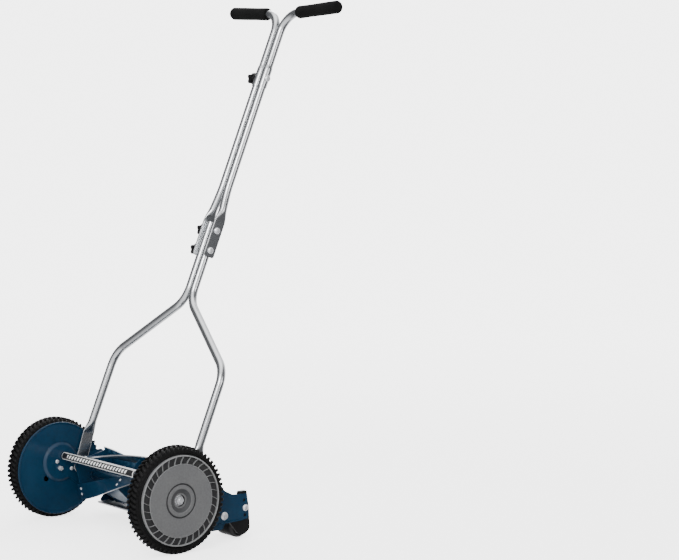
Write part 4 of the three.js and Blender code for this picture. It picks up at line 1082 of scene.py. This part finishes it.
def makeClamp(name, along, reach):
    at = handlePoint(0, along)
    bolt = lathe([(0, -reach - 8.9), (2.4, -reach - 8.9, 0.4), (3.0, -reach - 8.0), (3.0, reach + 0.35),
                  (7.1, reach + 0.35, 0.2), (7.0, reach + 1.6, 0.9), (4.8, reach + 4.2, 2.4),
                  (0, reach + 4.7)], 1, at.y, at.z, 40)
    addPiece(f"{name}_bolt", "carriage", [bolt], zinc, "handle")
    outline = []
    for k in range(80):
        angle = 2 * math.pi * k / 80
        radius = knobSize["radius"] + knobSize["lobe"] * math.cos(knobSize["lobes"] * angle)
        outline.append((at.y + radius * math.cos(angle), at.z + radius * math.sin(angle)))
    head = sheetMetal(outline, [circle(3.5, at.y, at.z, 24)], reach + 4.1, knobSize["height"] - 0.2, -1, 1.6)
    neck = lathe([(3.5, reach + 0.35, 0.2), (7.4, reach + 0.35, 0.6), (8.9, reach + 5.2),
                  (3.5, reach + 5.2)], -1, at.y, at.z, 40)
    cap = lathe([(4.2, reach + 14.6), (6.4, reach + 14.6, 0.5), (6.0, reach + 15.25, 0.5),
                 (4.2, reach + 15.25)], -1, at.y, at.z, 40)
    addPiece(f"{name}_knob", "grip", [head, neck, cap], blackPlastic, "handle", even=True)


makeCutter()
for label, side in sides:
    makeLowerTube(label, side)
    makeMiddleTube(label, side)
    makeGripTube(label, side)
    makeGrip(label, side)
clampPlan = (("lower_clamp", tubeSize["joint"][1], 21.35), ("middle_clamp", tubeSize["joint"][2], 21.35),
             ("top_clamp", tubeSize["top"][1], 20.35))
for name, along, reach in clampPlan:
    makeClamp(name, along, reach)
print("handle made")


# swing is half of the bracket slot's arc in degrees, and outer and middle are where the rollers' ends are
rollerSize = {"y": 184.0, "z": -85.0, "radius": 22.9, "bore": 4.4, "rod": 3.95, "rodEnd": 207.6,
              "outer": (136.1, 195.9), "middle": (-85.9, 85.9), "slotHalf": 3.7, "swing": 9.0,
              "bracketFrom": 203.55, "bracketThick": 7.1}
frontBolt, rearBolt = boltPlan["bracket_bolt"][:2], boltPlan["height_bolt"][:2]


def makeBracket(label, side):
    inside, thick = rollerSize["bracketFrom"], rollerSize["bracketThick"]
    outline = rounded([(122, -44, 9), (122, -65, 9), (146, -66, 6), (168, -94, 10), (184, -100, 14),
                       (199, -88, 12), (196, -40, 6), (191, -8, 3), (172, -8, 3), (166, -34, 8),
                       (140, -42, 8)])
    dy, dz = rearBolt[0] - frontBolt[0], rearBolt[1] - frontBolt[1]
    radius, rest, swing = math.hypot(dy, dz), math.atan2(dz, dy), math.radians(rollerSize["swing"])
    half, slot = rollerSize["slotHalf"], []  # the arc slot's outline, out by one edge and back by the other
    for end, reach in ((1, half), (-1, -half)):
        for k in range(13):
            angle = rest + end * swing * (2 * k / 12 - 1)
            slot.append((frontBolt[0] + (radius + reach) * math.cos(angle),
                         frontBolt[1] + (radius + reach) * math.sin(angle)))
        centre = rest + end * swing
        for k in range(1, 8):
            turn = centre + math.pi * k / 8 + (0 if end > 0 else math.pi)
            slot.append((frontBolt[0] + radius * math.cos(centre) + half * math.cos(turn),
                         frontBolt[1] + radius * math.sin(centre) + half * math.sin(turn)))
    holes = [slot, circle(4.3, *frontBolt, 24)]
    web = sheetMetal(outline, holes, inside, thick, side, 0.7)
    boss = lathe([(4.4, inside), (9.0, inside, 0.4), (8.4, inside + 0.6, 0.4), (4.4, inside + 0.6)], side,
                 rollerSize["y"], rollerSize["z"], 40)
    addPiece(f"roller_bracket_{label}", "moulding", [web, boss], blackPlastic, "roller_carriage", even=True)


def makeRoller(name, start, end):
    radius, bore = rollerSize["radius"], rollerSize["bore"]
    profile = [(bore, start + 1.2, 0.3), (9.0, start + 1.2, 1.0), (11.0, start, 1.0),
               (radius - 5.0, start, 3.0), (radius, start + 6.0, 5.0)]
    grooves = 3 if end - start > 100 else 1
    for k in range(grooves):
        x = lerp(start, end, (k + 1) / (grooves + 1))
        profile += [(radius, x - 1.4, 0.4), (radius - 0.7, x - 0.7, 0.4), (radius - 0.7, x + 0.7, 0.4),
                    (radius, x + 1.4, 0.4)]
    profile += [(radius, end - 6.0, 5.0), (radius - 5.0, end, 3.0), (11.0, end, 1.0), (9.0, end - 1.2, 1.0),
                (bore, end - 1.2, 0.3)]
    body = lathe(profile, 1, rollerSize["y"], rollerSize["z"], 80)
    addPiece(name, "drum", [body], blackPlastic, f"{name}_body")


for label, side in sides:
    makeBracket(label, side)
    start, end = sorted((side * rollerSize["outer"][0], side * rollerSize["outer"][1]))
    makeRoller(f"roller_{label}", start, end)
makeRoller("roller_middle", *rollerSize["middle"])
rodRadius, rodEnd = rollerSize["rod"], rollerSize["rodEnd"]
rod = lathe([(0, -rodEnd), (rodRadius, -rodEnd, 0.6), (rodRadius, rodEnd, 0.6), (0, rodEnd)], 1,
            rollerSize["y"], rollerSize["z"], 32)
addPiece("roller_rod", "pin", [rod], zinc, "roller_carriage")
print("rollers made")


white = (1, 1, 1, 1)
stageLook = {"floorSize": 240.0, "floor": (0.9, 0.9, 0.9, 1), "floorPatch": (0.7, 0.7, 0.7, 1),
             "floorLift": 2.4, "fadeFrom": 0.9, "fadeTo": 3.6, "air": (1.6, 1.6, 1.6, 1), "airStrength": 3.0,
             "airDark": (0.11, 0.113, 0.118, 1), "sheenDark": (0.05, 0.051, 0.054, 1),
             "sheenBright": (0.56, 0.56, 0.57, 1), "overheadFrom": 0.74, "overheadTo": 0.96}
# sectors round the horizon, their turn, and where a sector's dark part ends and its bright part begins
skyPlan = {"light": (3.0, 3.58, 0.3, 0.85), "sheen": (2.0, 3.49, 0.15, 0.85)}
lamps = [  # name, place, aimed height, size, watts
    ("keyLight", (2.2, -3.4, 3.2), 0.3, 1.6, 130.0),
    ("fillLight", (4.6, 0.8, 1.6), 0.3, 1.8, 40.0),
    ("backLight", (-2.8, 2.6, 2.8), 0.6, 1.6, 80.0),
]


def makeFloor():
    half = stageLook["floorSize"] / 2
    mesh = bpy.data.meshes.new("floor")
    mesh.from_pydata([(-half, -half, 0), (half, -half, 0), (half, half, 0), (-half, half, 0)], [],
                     [(0, 1, 2, 3)])
    floor = bpy.data.objects.new("floor", mesh)
    bpy.context.scene.collection.objects.link(floor)
    material, tree, shader = newMaterial("paleFloor", Roughness=0.75)
    patches = noise(tree, objectPlace(tree), 1.5)
    tint = mixColour(tree, remap(tree, patches, 0.3, 0.7, 0.0, 0.03), stageLook["floor"],
                     stageLook["floorPatch"])
    tree.links.new(tint, shader.inputs["Base Color"])
    spot = addNode(tree, "ShaderNodeNewGeometry").outputs["Position"]
    away = addNode(tree, "ShaderNodeVectorMath", {0: spot}, operation="LENGTH").outputs["Value"]
    tree.links.new(remap(tree, away, stageLook["fadeFrom"], stageLook["fadeTo"], 1.0, 0.0),
                   shader.inputs["Alpha"])
    shader.inputs["Emission Color"].default_value = white
    eye = addNode(tree, "ShaderNodeLightPath").outputs["Is Camera Ray"]
    tree.links.new(maths(tree, "MULTIPLY", eye, stageLook["floorLift"]), shader.inputs["Emission Strength"])
    mesh.materials.append(material)
    floor.visible_glossy = False


def skyBands(tree, around, count, shift, low, high, dark, bright):  # light and dark sectors round the horizon
    wave = maths(tree, "SINE", maths(tree, "ADD", maths(tree, "MULTIPLY", around, count), shift))
    ramp = addNode(tree, "ShaderNodeValToRGB", {0: remap(tree, wave, -1.0, 1.0)})
    for element, position, tone in zip(ramp.color_ramp.elements, (low, high), (dark, bright)):
        element.position, element.color = position, tone
    return ramp.outputs[0]


def makeAir():  # even pale air for the eye, banded air for light and for reflections
    world = bpy.data.worlds.new("studioAir")
    bpy.context.scene.world = world
    world.use_nodes = True
    tree = world.node_tree
    backdrop = next(n for n in tree.nodes if n.type == "BACKGROUND")
    outward = addNode(tree, "ShaderNodeTexCoord").outputs["Generated"]
    direction = addNode(tree, "ShaderNodeSeparateXYZ", {0: outward})
    around = maths(tree, "ARCTAN2", direction.outputs[1], direction.outputs[0])
    light = skyBands(tree, around, *skyPlan["light"], stageLook["airDark"], white)
    sheen = skyBands(tree, around, *skyPlan["sheen"], stageLook["sheenDark"], stageLook["sheenBright"])
    above = remap(tree, direction.outputs[2], stageLook["overheadFrom"], stageLook["overheadTo"])
    glossy = mixColour(tree, above, sheen, white)
    rays = addNode(tree, "ShaderNodeLightPath")
    lit = mixColour(tree, rays.outputs["Is Glossy Ray"], light, glossy)
    air = mixColour(tree, rays.outputs["Is Camera Ray"], lit, stageLook["air"])
    tree.links.new(air, backdrop.inputs["Color"])
    backdrop.inputs["Strength"].default_value = stageLook["airStrength"]


def makeLamps():
    for name, place, height, size, watts in lamps:
        light = bpy.data.lights.new(name, "AREA")
        light.energy, light.size, light.shape = watts, size, "SQUARE"
        lamp = bpy.data.objects.new(name, light)
        lamp.location = place
        lamp.rotation_euler = (Vector((0, 0, height)) - Vector(place)).to_track_quat("-Z", "Y").to_euler()
        bpy.context.scene.collection.objects.link(lamp)


cameraLook = {"fromAxle": (3.4999, -2.1723, 0.7628), "azimuth": 51.61, "elevation": 4.786, "lens": 106.04,
              "sensor": 36.0}


def makeCamera():
    data = bpy.data.cameras.new("camera")
    data.sensor_fit, data.sensor_width, data.lens = "HORIZONTAL", cameraLook["sensor"], cameraLook["lens"]
    camera = bpy.data.objects.new("camera", data)
    a, e = math.radians(cameraLook["azimuth"]), math.radians(cameraLook["elevation"])
    back = Vector((math.sin(a) * math.cos(e), -math.cos(a) * math.cos(e), math.sin(e)))
    camera.location = axle + Vector(cameraLook["fromAxle"])
    camera.rotation_euler = back.to_track_quat("Z", "Y").to_euler()
    bpy.context.scene.collection.objects.link(camera)
    bpy.context.scene.camera = camera


makeFloor()
makeAir()
makeLamps()
makeCamera()
print("stage made")
